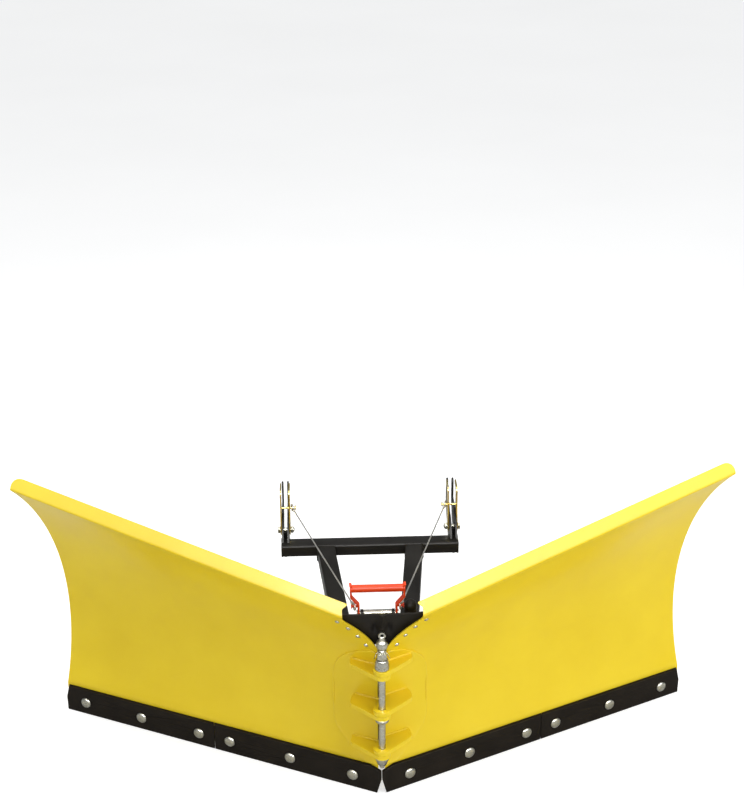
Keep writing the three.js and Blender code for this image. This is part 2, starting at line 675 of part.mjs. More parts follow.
function handleStraps() {
  const { foot, wide, strap, width, bend, grip, top } = HANDLE;
  const side = new THREE.Shape();
  const edge = (x) => [[foot + x, -9], [foot + x, bend[0]], [wide + x, bend[1]], [wide + x, top]];
  const points = [...edge(-strap / 2), ...edge(strap / 2).reverse()];
  side.setFromPoints(points.map(([x, z]) => new THREE.Vector2(x, z)));
  const strapBody = plate(side, -width / 2, width / 2, FRONT);
  const studY = STUD.arm * Math.sin(STUD.lean);
  const studZ = STUD.arm * Math.cos(STUD.lean);
  const tab = plate([[-width / 2, 0], [width / 2, 0], [studY + 6, studZ], [studY, studZ + 6],
    [-width / 2, studZ]], foot - strap / 2, foot + strap / 2, SIDE);
  const stud = rod([foot, studY, studZ], [WIRE.front + 5, studY, studZ], STUD.radius, 12);
  const cap = rod([WIRE.front + 5, studY, studZ], [WIRE.front + 7, studY, studZ], 5, 12);
  const ear = rod([wide - strap / 2, 0, grip], [wide + strap / 2, 0, grip], width / 2 + 2);
  const right = join(strapBody, tab, stud, cap, ear);
  const core = rod([-wide, 0, grip], [wide, 0, grip], 5, 16);
  const pivot = rod([-60, 0, 0], [60, 0, 0], LIFT.radius * 0.72 + 0.4, 20);
  const body = cut(join(right, mirrored(right), core), pivot);
  return solid(geometryOf(body).translate(0, LIFT.y, LIFT.z));
}

function handleGrip() {
  const { wide, strap, grip } = HANDLE;
  const z = LIFT.z + grip;
  const reach = wide - strap / 2 - GAP;
  const across = (from, to, r) => rod([from, LIFT.y, z], [to, LIFT.y, z], r);
  return cut(across(-reach, reach, 8), across(-60, 60, 5 + GAP));
}

// Release wire: a straight wire rope with a closed eye at each end.
function wire() {
  const { radius, eye, front, rear } = WIRE;
  const [ay, az] = LATCH.arm;
  const start = new THREE.Vector3(front, LIFT.y + STUD.arm * Math.sin(STUD.lean),
    LIFT.z + STUD.arm * Math.cos(STUD.lean));
  const end = new THREE.Vector3(rear, ay, az);
  const along = end.clone().sub(start).normalize();
  const ring = (centre) => solid(new THREE.TorusGeometry(eye, radius, 6, 14)
    .rotateY(Math.PI / 2).translate(centre.x, centre.y, centre.z));
  const from = start.clone().addScaledVector(along, eye - 0.5);
  const to = end.clone().addScaledVector(along, -eye + 0.5);
  return join(ring(start), ring(end), rod(from.toArray(), to.toArray(), radius, 8));
}

// ---------------------------------------------------------------- assembly

wing('right');
wing('left');

mesh(object, 'carrier', carrier(), black);
mesh(object, 'hinge_pin', hingePin(), zinc);
mesh(object, 'lower_pin_block',
  pinBlock([[0, 84], [9, 84], [14, 99], [14, 103.4], [0, 103.4]], 88, 103), zinc);
mesh(object, 'upper_pin_block',
  pinBlock([[0, 309.1], [14, 309.1], [14, 317], [11.5, 330], [0, 330]], 310, 329), zinc);
mesh(object, 'pin_collar', onPin([[0, 185], [11, 185], [14, 189], [14, 194], [0, 194]]), zinc);
mesh(object, 'castle_nut', castleNut(), zinc);
mesh(object, 'eye_nut', eyeNut(), zinc);
mesh(object, 'right_lock_pin', lockPin('right'), zinc);
mesh(object, 'left_lock_pin', lockPin('left'), zinc);

pair('return_spring', returnSpring(SPRING.x), springSteel);
pair('frame_leg', leg(), black);
pair('upright', upright(), black);
pair('release_hook', hook(), goldZinc);
pair('hook_bolt', hookBolt(), zinc);
pair('release_wire', wire(), zinc);

mesh(object, 'cross_tube', crossTube(), black);
mesh(object, 'front_head', frontHead(), black);
mesh(object, 'lift_bar', liftBar(), zinc);
mesh(object, 'trip_pin', tripPin(), zinc);
mesh(object, 'lift_buffer', liftBuffer(), rubber);
mesh(object, 'handle_straps', handleStraps(), red);
mesh(object, 'handle_grip', handleGrip(), red);

const bounds = new THREE.Box3().setFromObject(object, true);
object.position.y = -(bounds.min.y + bounds.max.y) / 2;

export default object;
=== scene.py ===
# %% [markdown]
# # A hinged V-plow for a quad bike
# Two curved yellow wings turn on one upright pin. Behind them stand a sprung carrier and a
# black push frame with quick-release hooks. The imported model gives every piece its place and
# its motion. This lesson rebuilds the visible pieces with fine surfaces around that frame.

import json
from math import asin, cos, exp, pi, radians, sin, sqrt

import bmesh
import bpy
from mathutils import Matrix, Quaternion, Vector


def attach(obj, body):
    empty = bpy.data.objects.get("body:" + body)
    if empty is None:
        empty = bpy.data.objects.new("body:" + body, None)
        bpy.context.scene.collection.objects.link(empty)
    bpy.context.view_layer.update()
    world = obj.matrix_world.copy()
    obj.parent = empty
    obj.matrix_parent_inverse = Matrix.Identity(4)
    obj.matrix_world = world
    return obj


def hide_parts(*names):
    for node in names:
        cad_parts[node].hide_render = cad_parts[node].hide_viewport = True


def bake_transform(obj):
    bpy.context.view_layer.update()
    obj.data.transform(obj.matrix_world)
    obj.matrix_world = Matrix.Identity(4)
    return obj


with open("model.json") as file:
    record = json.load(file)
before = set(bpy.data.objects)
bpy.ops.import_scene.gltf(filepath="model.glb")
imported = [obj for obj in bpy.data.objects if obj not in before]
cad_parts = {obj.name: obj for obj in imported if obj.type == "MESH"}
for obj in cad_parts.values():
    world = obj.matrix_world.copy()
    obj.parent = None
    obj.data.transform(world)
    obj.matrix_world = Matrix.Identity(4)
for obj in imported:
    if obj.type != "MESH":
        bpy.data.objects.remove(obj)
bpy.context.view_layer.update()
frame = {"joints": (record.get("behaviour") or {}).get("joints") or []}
joints = {joint["name"]: joint for joint in frame["joints"]}

# %% [markdown]
# ## One way to say where things are
# A fabricator measures everything from the hinge pin, in millimetres. The frame is in
# metres and is centred elsewhere, so one small function turns shop sizes into frame
# points. A wing is drawn flat, with lengths outward, back and up, and then swung back.

# %% Places
MM = 0.001
PIN_Y = joints["right_wing_swing"]["pos_m"][1]
SWEEP = radians(25)
SIDES = {"right": 1, "left": -1}


def at(x, y, z):
    """A point in millimetres from the foot of the hinge axis."""
    return Vector((x * MM, y * MM + PIN_Y, z * MM))


def wing_place(side):
    """Places wing points: s outward from the pin, b back, z up."""
    k = SIDES[side]

    def place(s, b, z):
        x = s * cos(SWEEP) - b * sin(SWEEP)
        return at(k * x, s * sin(SWEEP) + b * cos(SWEEP), z)

    return place


def upright(x, y):
    """Places turned pieces on a vertical axis."""
    return lambda u, v, w: at(x + u, y + v, w)


def crosswise(y, z, k=1, x=0):
    """Places turned pieces on an axis along X, counted from x."""
    return lambda u, v, w: at(k * (x + w), y + u, z + v)


def side_on(k=1):
    """Places an outline drawn in y and z, with its thickness along x."""
    return lambda y, z, x: at(k * x, y, z)


print("hinge axis at y =", round(PIN_Y, 4))

# %% [markdown]
# ## Camera
# The plow is seen from a standing person's eye, a little to the left of the middle and
# looking down at the blade. A long lens keeps the two wings calm and nearly parallel.

# %% Camera
eye = bpy.data.objects.new("camera", bpy.data.cameras.new("camera"))
bpy.context.collection.objects.link(eye)
eye.location = at(-101.3, -2208.7, 1840.8)
eye.rotation_mode = "QUATERNION"
eye.rotation_quaternion = (Quaternion((0, 0, 1), radians(-2.2))
                           @ Quaternion((1, 0, 0), radians(66.29))
                           @ Quaternion((0, 0, 1), radians(-0.295)))
eye.data.lens = 62.1
eye.data.clip_end = 50
bpy.context.scene.camera = eye
print("camera at", [round(v, 2) for v in eye.location])

# %% [markdown]
# ## Skins, plates and turned pieces
# Nearly everything on a plow is a folded sheet, a cut plate, a tube or a turned part. Three
# makers cover them: a skin over rings or grids of points, a filled outline with real holes
# and a profile turned about an axis. Each draws in its own flat space and is then placed.


# %% Skin
def skin(bm, rings, loop=False):
    """Covers a row of equal rings with faces. A loop closes on itself, a row gets two ends."""
    rows = [[bm.verts.new(point) for point in ring] for ring in rings]
    count = len(rows[0])
    last = len(rows) if loop else len(rows) - 1
    for i in range(last):
        below, above = rows[i], rows[(i + 1) % len(rows)]
        for j in range(count):
            k = (j + 1) % count
            bm.faces.new((below[j], below[k], above[k], above[j]))
    if not loop:
        bm.faces.new(rows[0])
        bm.faces.new(rows[-1])


def two_grids(bm, grids):
    """A sheet from two grids of points, its front and its back, joined round the rim."""
    rims = []
    for points in grids:
        grid = [[bm.verts.new(point) for point in line] for line in points]
        for low, high in zip(grid, grid[1:]):
            for j in range(len(low) - 1):
                bm.faces.new((low[j], low[j + 1], high[j + 1], high[j]))
        rims.append([*grid[0], *[line[-1] for line in grid[1:-1]], *reversed(grid[-1]),
                     *[line[0] for line in reversed(grid[1:-1])]])
    front, back = rims
    for j in range(len(front)):
        bm.faces.new((front[j - 1], front[j], back[j], back[j - 1]))


def turned(bm, place, profile, sides=40):
    """A solid of revolution from its radius and height pairs."""
    angles = [2 * pi * i / sides for i in range(sides)]
    skin(bm, [[place(r * cos(a), r * sin(a), w) for a in angles] for r, w in profile])


def bored(bm, place, profile, sides=40):
    """A turned ring: the profile closes on itself and stays clear of the axis."""
    angles = [2 * pi * i / sides for i in range(sides)]
    skin(bm, [[place(r * cos(a), r * sin(a), w) for r, w in profile] for a in angles], True)


def washer(bm, place, inner, outer, low, high, sides=40):
    """A flat ring with softened corners."""
    c = min(0.6, (high - low) / 4)
    bored(bm, place, [(inner, low), (outer - c, low), (outer, low + c), (outer, high - c),
                      (outer - c, high), (inner, high)], sides)


def bar(bm, place, radius, low, high, soft=0.8, sides=32):
    """A round bar with chamfered ends."""
    turned(bm, place, [(radius - soft, low), (radius, low + soft), (radius, high - soft),
                       (radius - soft, high)], sides)


print("skins and turned pieces are ready")


# %% Plates
def circle(x, y, radius, count=28):
    return [(x + radius * cos(2 * pi * i / count), y + radius * sin(2 * pi * i / count))
            for i in range(count)]


def arc(x, y, radius, first, last, count=12):
    """Points of an arc, with its angles in degrees."""
    angles = [radians(first + (last - first) * i / count) for i in range(count + 1)]
    return [(x + radius * cos(a), y + radius * sin(a)) for a in angles]


def round_box(x, y, half_x, half_y, radius):
    """A rectangle about x, y with round corners."""
    ring = []
    for u, v, first in ((1, 1, 0), (-1, 1, 90), (-1, -1, 180), (1, -1, 270)):
        ring += arc(x + u * (half_x - radius), y + v * (half_y - radius), radius,
                    first, first + 90, 5)
    return ring


def curve(a, b, c, count=12):
    """A bend from a to c that is pulled towards b."""
    steps = [i / count for i in range(count + 1)]
    return [tuple((1 - t) ** 2 * p + 2 * t * (1 - t) * q + t * t * r
                  for p, q, r in zip(a, b, c)) for t in steps]


def plate(bm, place, outline, low, high, holes=()):
    """A flat plate with its holes: the outline lies in u and v, the thickness runs in w."""
    edges = []
    for line in [outline, *holes]:
        ring = [bm.verts.new(place(u, v, low)) for u, v in line]
        edges += [bm.edges.new((ring[i - 1], ring[i])) for i in range(len(ring))]
    filled = bmesh.ops.triangle_fill(bm, use_beauty=True, use_dissolve=False, edges=edges)
    faces = [f for f in filled["geom"] if isinstance(f, bmesh.types.BMFace)]
    raised = bmesh.ops.extrude_face_region(bm, geom=faces, use_keep_orig=True)
    push = place(0, 0, high) - place(0, 0, low)
    verts = [v for v in raised["geom"] if isinstance(v, bmesh.types.BMVert)]
    bmesh.ops.translate(bm, verts=verts, vec=push)


print("plates are ready")

# %% [markdown]
# ## Swept pieces
# Wire, springs and weld beads all follow a path. The section is carried along without
# twisting. A weld bead is the same sweep with a gentle swelling every few millimetres,
# which is how the puddle of a hand weld freezes.


# %% Sweeps
def sweep(bm, path, radius, sides=12, loop=False):
    """A round section along a path. The radius is one number or a function of the step."""
    size = radius if callable(radius) else (lambda i: radius)
    count = len(path)
    steps = []
    for i in range(count):
        before = path[i - 1] if loop or i else path[0]
        after = path[(i + 1) % count] if loop or i < count - 1 else path[-1]
        steps.append((after - before).normalized())
    side = steps[0].orthogonal().normalized()
    rings = []
    for i, step in enumerate(steps):
        side = (side - step * side.dot(step)).normalized()
        other = step.cross(side)
        angles = [2 * pi * j / sides for j in range(sides)]
        rings.append([path[i] + (side * cos(a) + other * sin(a)) * size(i) * MM
                      for a in angles])
    skin(bm, rings, loop)


def spaced(path, gap):
    """The same path with points at an even gap in millimetres."""
    result = [path[0]]
    for a, b in zip(path, path[1:]):
        count = max(1, round((b - a).length / MM / gap))
        result += [a.lerp(b, i / count) for i in range(1, count + 1)]
    return result


def bead(bm, path, radius=2.2):
    """A weld bead with its frozen ripples and tapered ends."""
    points = spaced(path, 1.3)
    last = len(points) - 1
    swell = lambda i: radius * (1 + 0.1 * sin(i * 1.9)) * min(1, 0.45 + min(i, last - i) * 0.2)
    sweep(bm, points, swell, 8)


def square_tube(bm, start, end, across, up, size, wall, corner=5):
    """A rolled square tube with round corners, open at both ends."""
    outer = round_box(0, 0, size[0] / 2, size[1] / 2, corner)
    inner = round_box(0, 0, size[0] / 2 - wall, size[1] / 2 - wall, max(1, corner - wall))
    rings = [[end_point + (across * u + up * v) * MM for u, v in ring]
             for ring, end_point in ((outer, start), (outer, end), (inner, end), (inner, start))]
    skin(bm, rings, True)


print("sweeps are ready")

# %% [markdown]
# ## From mesh to piece
# Every maker ends the same way. The mesh gets outward faces, smooth shading that breaks at
# real corners, and a small bevel, because no cut plate or folded sheet has a razor edge.
# The piece then rides on its body and hides the plain solid that it stands for.


# %% Piece
def piece(name, bm, body, slot, nodes=(), bevel=0.0, sharp=38, ride=True):
    """Turns a mesh into a finished piece of the plow."""
    bmesh.ops.recalc_face_normals(bm, faces=bm.faces)
    data = bpy.data.meshes.new(name)
    bm.to_mesh(data)
    bm.free()
    data.shade_smooth()
    data.set_sharp_from_angle(angle=radians(sharp))
    data.materials.append(finishes[slot])
    thing = bpy.data.objects.new(name, data)
    bpy.context.collection.objects.link(thing)
    if bevel:
        soften = thing.modifiers.new("bevel", "BEVEL")
        soften.width = bevel * MM
        soften.segments = 2
        soften.limit_method = "ANGLE"
        soften.angle_limit = radians(sharp)
        soften.harden_normals = True
    if ride:
        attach(thing, body)
    if nodes:
        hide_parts(*nodes)
    return thing


print("pieces are ready")

# %% [markdown]
# ## Finishes
# A plow wears a few finishes: sprayed powder coat in three colours, plated steel, a wire
# rope and rubber. The effects that they share are node groups with named sockets, built
# once. Each finish then sets its own values. The shader itself stays in the material.


# %% Group maker
class Group:
    """A node group under construction, with short calls to add and join nodes."""

    def __init__(self, name, inputs, outputs):
        self.tree = bpy.data.node_groups.new(name, "ShaderNodeTree")
        for label, value in inputs.items():
            socket = self.tree.interface.new_socket(label, in_out="INPUT",
                                                    socket_type="NodeSocketFloat")
            socket.default_value = value
        for label in outputs:
            self.tree.interface.new_socket(label, in_out="OUTPUT",
                                           socket_type="NodeSocketFloat")
        self.source = self.tree.nodes.new("NodeGroupInput")
        self.sink = self.tree.nodes.new("NodeGroupOutput")

    def add(self, kind, links=(), **values):
        return add_node(self.tree, kind, links, **values)

    def given(self, label):
        return self.source.outputs[label]

    def noise(self, where, scale, detail, roughness):
        """Cloudy noise from 0 to 1."""
        return self.add("TexNoise", {"Vector": where, "Scale": scale, "Detail": detail,
                                     "Roughness": roughness}).outputs["Fac"]

    def stretch(self, value, low, high):
        """Stretches the values from low to high over 0 to 1."""
        return self.add("MapRange", {"Value": value, "From Min": low,
                                     "From Max": high}).outputs["Result"]

    def times(self, first, second):
        return self.add("Math", {0: first, 1: second}, operation="MULTIPLY").outputs[0]

    def put(self, socket, label):
        self.tree.links.new(socket, self.sink.inputs[label])


def add_node(tree, kind, links=(), **values):
    """Adds a node, sets its properties, and joins sockets to its named or numbered inputs."""
    node = tree.nodes.new("ShaderNode" + kind)
    for key, value in values.items():
        setattr(node, key, value)
    for label, socket in dict(links).items():
        if isinstance(socket, bpy.types.NodeSocket):
            tree.links.new(socket, node.inputs[label])
        else:
            node.inputs[label].default_value = socket
    return node


print("group maker is ready")

# %% [markdown]
# ### Coat texture
# Powder coat melts into a skin with a faint orange peel, and its thickness drifts a little
# from place to place. Fine noise gives the peel as a height, broad noise gives the drift.

# %% Coat texture
coat = Group("coat_texture", {"Peel Scale": 900.0, "Drift Scale": 5.0}, ["Height", "Drift"])
where = coat.add("TexCoord").outputs["Object"]
peel = coat.noise(where, coat.given("Peel Scale"), 2.0, 0.45)
drift = coat.noise(where, coat.given("Drift Scale"), 4.0, 0.55)
coat.put(peel, "Height")
coat.put(coat.stretch(drift, 0.3, 0.7), "Drift")
print("group:", coat.tree.name)

# %% [markdown]
# ### Rubbed edges
# Paint thins at corners and wears there first. Comparing the true normal with one taken
# from a rounded copy of the surface finds the corners, and noise breaks the line up.

# %% Rubbed edges
rubbed = Group("rubbed_edges", {"Width": 0.002, "Amount": 1.0, "Breakup": 60.0}, ["Mask"])
rounded = rubbed.add("Bevel", {"Radius": rubbed.given("Width")}, samples=4)
true_normal = rubbed.add("NewGeometry").outputs["Normal"]
alike = rubbed.add("VectorMath", {0: rounded.outputs["Normal"], 1: true_normal},
                   operation="DOT_PRODUCT")
corner = rubbed.stretch(alike.outputs["Value"], 0.995, 0.82)
where = rubbed.add("TexCoord").outputs["Object"]
specks = rubbed.noise(where, rubbed.given("Breakup"), 6.0, 0.7)
both = rubbed.times(corner, rubbed.stretch(specks, 0.42, 0.6))
rubbed.put(rubbed.times(both, rubbed.given("Amount")), "Mask")
print("group:", rubbed.tree.name)

# %% [markdown]
# ### Settled dust
# Dust lies on what faces up and thins out on walls. It is a mask from the surface's own
# direction and a cloudy noise, so it stays in place in every view.

# %% Settled dust
dust = Group("settled_dust", {"Amount": 0.3, "Scale": 14.0}, ["Mask"])
facing = dust.add("SeparateXYZ", {"Vector": dust.add("NewGeometry").outputs["Normal"]})
upward = dust.stretch(facing.outputs["Z"], 0.1, 0.95)
where = dust.add("TexCoord").outputs["Object"]
clouds = dust.noise(where, dust.given("Scale"), 5.0, 0.6)
lying = dust.times(upward, dust.stretch(clouds, 0.35, 0.7))
dust.put(dust.times(lying, dust.given("Amount")), "Mask")
print("group:", dust.tree.name)

# %% [markdown]
# ### Plated metal
# Zinc plate is bright but never even: small crystals catch the light differently, and
# handling leaves cloudy patches. Cells give the crystals and noise gives the clouds.

# %% Plated metal
plating = Group("plated_metal", {"Crystal Scale": 350.0, "Cloud Scale": 45.0},
                ["Crystals", "Clouds", "Height"])
where = plating.add("TexCoord").outputs["Object"]
cells = plating.add("TexVoronoi", {"Vector": where, "Scale": plating.given("Crystal Scale")})
tone = plating.add("SeparateColor", {"Color": cells.outputs["Color"]})
haze = plating.noise(where, plating.given("Cloud Scale"), 5.0, 0.65)
plating.put(tone.outputs["Red"], "Crystals")
plating.put(plating.stretch(haze, 0.3, 0.7), "Clouds")
plating.put(haze, "Height")
print("group:", plating.tree.name)

# %% [markdown]
# ### Fine grain
# Rubber sheet and rolled bar have a grain far finer than any dent. One group gives a
# height for the bump and a value for slow blotches in the colour.

# %% Fine grain
grain = Group("fine_grain", {"Grain Scale": 1400.0, "Blotch Scale": 18.0},
              ["Height", "Blotches"])
where = grain.add("TexCoord").outputs["Object"]
grit = grain.noise(where, grain.given("Grain Scale"), 3.0, 0.7)
blots = grain.noise(where, grain.given("Blotch Scale"), 5.0, 0.6)
grain.put(grit, "Height")
grain.put(grain.stretch(blots, 0.32, 0.68), "Blotches")
print("group:", grain.tree.name)

# %% [markdown]
# ### Putting a finish together
# A material starts with its shader and then mixes colours one mask at a time, the way a
# painter lays coats. Three small helpers keep each recipe short enough to read.


# %% Material helpers
def new_finish(name, **sockets):
    """A material whose Principled shader has these plain values."""
    material = bpy.data.materials.new(name)
    material.use_nodes = True
    shader = material.node_tree.nodes["Principled BSDF"]
    for label, value in sockets.items():
        shader.inputs[label.replace("_", " ")].default_value = value
    return material.node_tree, shader, material


def use(tree, group, **values):
    """Places a node group and sets its inputs."""
    node = tree.nodes.new("ShaderNodeGroup")
    node.node_tree = group.tree
    for label, value in values.items():
        node.inputs[label.replace("_", " ")].default_value = value
    return node.outputs


def blend_colour(tree, mask, first, second):
    """Goes from the first colour to the second as the mask rises."""
    node = tree.nodes.new("ShaderNodeMix")
    node.data_type = "RGBA"
    tree.links.new(mask, node.inputs[0])
    for socket, value in ((node.inputs[6], first), (node.inputs[7], second)):
        if isinstance(value, bpy.types.NodeSocket):
            tree.links.new(value, socket)
        else:
            socket.default_value = (*value, 1)
    return node.outputs[2]


def ranged(tree, value, low, high):
    """Stretches a mask from 0..1 to low..high."""
    return add_node(tree, "MapRange", {"Value": value, "To Min": low,
                                       "To Max": high}).outputs["Result"]


def bump(tree, shader, height, strength, distance=0.001):
    """Feeds a height to the shader's normal."""
    node = add_node(tree, "Bump", {"Height": height, "Strength": strength,
                                   "Distance": distance})
    tree.links.new(node.outputs["Normal"], shader.inputs["Normal"])


print("material helpers are ready")

# %% [markdown]
# ### Powder coats
# Yellow, black and red come from the same booth. Only their pigment, gloss and wear
# differ: the yellow is glossy and new, the black is satin and shows its corners.


# %% Powder coats
def powder_coat(name, deep, light, worn, rough, wear, peel=0.12, dusty=0.15, gloss=0.3,
                shine=0.5):
    """A sprayed coat that drifts in tone, thins at the corners and gathers some dust."""
    tree, shader, material = new_finish(name, Coat_Weight=gloss, Coat_Roughness=0.12,
                                        Specular_IOR_Level=shine)
    texture = use(tree, coat, Peel_Scale=700.0, Drift_Scale=6.0)
    colour = blend_colour(tree, texture["Drift"], deep, light)
    edges = use(tree, rubbed, Width=0.0015, Amount=wear)
    colour = blend_colour(tree, edges["Mask"], colour, worn)
    settled = use(tree, dust, Amount=dusty)
    colour = blend_colour(tree, settled["Mask"], colour, (0.62, 0.6, 0.55))
    tree.links.new(colour, shader.inputs["Base Color"])
    tree.links.new(ranged(tree, texture["Drift"], rough - 0.05, rough + 0.07),
                   shader.inputs["Roughness"])
    bump(tree, shader, texture["Height"], peel, 0.0004)
    return material


finishes = {
    "yellow_coat": powder_coat("yellow_coat", (0.84, 0.605, 0.01), (0.9, 0.67, 0.016),
                               (0.95, 0.8, 0.16), 0.34, 0.35, dusty=0.02, gloss=0.06, shine=0.3),
    "black_coat": powder_coat("black_coat", (0.0055, 0.0046, 0.0034), (0.0105, 0.0088, 0.0068),
                              (0.07, 0.064, 0.055), 0.42, 0.5, dusty=0.015, gloss=0.0,
                              shine=0.2),
    "red_coat": powder_coat("red_coat", (0.86, 0.06, 0.012), (0.94, 0.085, 0.018),
                            (0.9, 0.25, 0.12), 0.38, 0.35, dusty=0.02, gloss=0.02, shine=0.2),
}
print("coats:", sorted(finishes))

# %% [markdown]
# ### Cutting edge steel
# The wear bars are hard rolled steel with one thin coat of black paint. Rolling leaves a
# fine grain, and the corners rub bright almost before the plow leaves the shop.

# %% Edge steel
tree, shader, material = new_finish("edge_steel", Specular_IOR_Level=0.1)
texture = use(tree, grain, Grain_Scale=900.0, Blotch_Scale=22.0)
colour = blend_colour(tree, texture["Blotches"], (0.0085, 0.006, 0.0035), (0.015, 0.011, 0.007))
edges = use(tree, rubbed, Width=0.0012, Amount=0.5, Breakup=120.0)
colour = blend_colour(tree, edges["Mask"], colour, (0.16, 0.145, 0.13))
tree.links.new(colour, shader.inputs["Base Color"])
tree.links.new(ranged(tree, texture["Blotches"], 0.5, 0.68), shader.inputs["Roughness"])
tree.links.new(ranged(tree, edges["Mask"], 0.0, 0.8), shader.inputs["Metallic"])
bump(tree, shader, texture["Height"], 0.2, 0.0005)
finishes["edge_steel"] = material
print("finish:", material.name)

# %% [markdown]
# ### Plated and bare metals
# Bright zinc, yellow zinc, wire rope and spring steel are one recipe. Crystals and clouds
# move the colour between two metal tones, and the clouds also dull the shine.


# %% Metals
def plated(name, cool, warm, rough, crystals=350.0, dents=0.15):
    """A metal that shifts between two tones over its crystals and clouds."""
    tree, shader, material = new_finish(name, Metallic=1.0)
    texture = use(tree, plating, Crystal_Scale=crystals, Cloud_Scale=60.0)
    colour = blend_colour(tree, texture["Clouds"], cool, warm)
    glint = blend_colour(tree, ranged(tree, texture["Crystals"], 0.0, 0.35), colour,
                         tuple(min(1, 1.25 * c) for c in cool))
    grime = use(tree, dust, Amount=0.12, Scale=40.0)
    tree.links.new(blend_colour(tree, grime["Mask"], glint, (0.2, 0.19, 0.17)),
                   shader.inputs["Base Color"])
    tree.links.new(ranged(tree, texture["Clouds"], rough[0], rough[1]),
                   shader.inputs["Roughness"])
    bump(tree, shader, texture["Height"], dents, 0.0006)
    return material


finishes["zinc"] = plated("zinc", (0.45, 0.45, 0.4), (0.31, 0.29, 0.225), (0.18, 0.42))
finishes["gold_zinc"] = plated("gold_zinc", (0.55, 0.5, 0.2), (0.62, 0.42, 0.13), (0.2, 0.38))
finishes["wire_rope"] = plated("wire_rope", (0.6, 0.59, 0.55), (0.42, 0.39, 0.34),
                               (0.3, 0.5), 900.0, 0.05)
finishes["spring_steel"] = plated("spring_steel", (0.2, 0.2, 0.21), (0.12, 0.115, 0.11),
                                  (0.3, 0.5), 600.0)
print("metals: zinc, gold_zinc, wire_rope, spring_steel")

# %% [markdown]
# ### Rubber
# The flap is cut from black rubber sheet. It is matt, slightly brown where light crosses
# it at a low angle, and its grain is as fine as cloth.

# %% Rubber
tree, shader, material = new_finish("rubber", Specular_IOR_Level=0.14)
texture = use(tree, grain, Grain_Scale=1600.0, Blotch_Scale=25.0)
colour = blend_colour(tree, texture["Blotches"], (0.0075, 0.006, 0.004), (0.014, 0.011, 0.0075))
settled = use(tree, dust, Amount=0.12, Scale=30.0)
colour = blend_colour(tree, settled["Mask"], colour, (0.1, 0.09, 0.075))
tree.links.new(colour, shader.inputs["Base Color"])
tree.links.new(ranged(tree, texture["Blotches"], 0.48, 0.68), shader.inputs["Roughness"])
bump(tree, shader, texture["Height"], 0.25, 0.0004)
finishes["rubber"] = material
print("finish:", material.name)

# %% [markdown]
# ## The moldboards
# A moldboard is one 3 mm sheet: an upright foot behind the cutting edge, a long roll, and
# a lip folded back along the top. The roll is tighter near the hinge, so each cross
# section is the same arc at another scale and the sheet never has to stretch. It could be
# cut out of a cylinder, but a grid that ends exactly on the cut lines shades cleaner.

# %% Moldboard shape
LENGTH = 750
SHEET = 3
FOOT = {"b": 17, "low": 12, "top": 65}
ROLL = {"radius": 476.5, "first": radians(-22.25), "last": radians(46.7)}
INNER = {"s": 50, "scale": 0.722}
LIP = {"length": 29, "b": 0.506, "z": 0.863, "corner": 22}
LIP_RUN = (7, 9, 12, 15, 18, 21, 23.5, 26, 27.8, 28.7, 29)


def roll_at(s):
    """Radius and centre of the roll at a distance from the pin."""
    share = (s - INNER["s"]) / (LENGTH - INNER["s"])
    radius = ROLL["radius"] * (INNER["scale"] + (1 - INNER["scale"]) * share)
    return (radius, FOOT["b"] - radius * cos(ROLL["first"]),
            FOOT["top"] - radius * sin(ROLL["first"]))


def on_roll(s, angle, offset=0):
    radius, b, z = roll_at(s)
    return b + (radius + offset) * cos(angle), z + (radius + offset) * sin(angle)


def roll_depth(s, z, offset=0):
    """How far back the roll lies at a height: below the foot's top it is the foot."""
    radius, b, middle = roll_at(s)
    if z < FOOT["top"]:
        return FOOT["b"] + offset
    angle = asin(min(1, (z - middle) / (radius + offset)))
    return b + (radius + offset) * cos(angle)


def section(s, offset=0):
    """The folded sheet's cross-section, from its foot to the lip."""
    line = [(FOOT["b"] + offset, FOOT["low"] + (FOOT["top"] - FOOT["low"]) * i / 4)
            for i in range(4)]
    steps = 52
    trim = 4 / ROLL["radius"]
    span = ROLL["last"] - trim - ROLL["first"]
    line += [on_roll(s, ROLL["first"] + span * i / steps, offset) for i in range(steps + 1)]
    back = (LIP["z"] * offset, -LIP["b"] * offset)
    hinge = on_roll(s, ROLL["last"])
    inside = (hinge[0] + back[0] * 1.1, hinge[1] + back[1] * 0.2)
    start = line[-1]
    end = (hinge[0] + LIP["b"] * 4 + back[0], hinge[1] + LIP["z"] * 4 + back[1])
    line += curve(start, inside if offset else hinge, end, 6)[1:]
    line += [(hinge[0] + LIP["b"] * run + back[0], hinge[1] + LIP["z"] * run + back[1])
             for run in LIP_RUN]
    return line


print("section has", len(section(400)), "points")

# %% [markdown]
# The wings must clear each other and the pin, so their inner ends are cut to one outline
# seen from the front: a narrow straight gap that opens into a V for the rubber flap.


# %% Middle gap
def gap_at(z):
    """Half the width of the middle gap at a height."""
    if z < 342:
        return 6.6
    if z < 350:
        return 6.6 + (z - 342) * 3.4 / 8
    if z < 427:
        t = (90 - sqrt(8100 - 52 * (z - 350))) / 26
        return 10 * (1 - t) ** 2 + 60 * t * (1 - t) + 75 * t * t
    if z < 461:
        return 75 + 0.3 * (z - 427) / 34
    return 75.3 - 9.3 * min(1, (z - 461) / 7)


def where_cut(row, offset):
    """Distance from the pin at which a row of the sheet meets the middle gap."""
    s = 40.0
    for _ in range(40):
        b, z = section(s, offset)[row]
        s = 0.5 * s + 0.5 * (gap_at(z) + b * sin(SWEEP)) / cos(SWEEP)
    return s


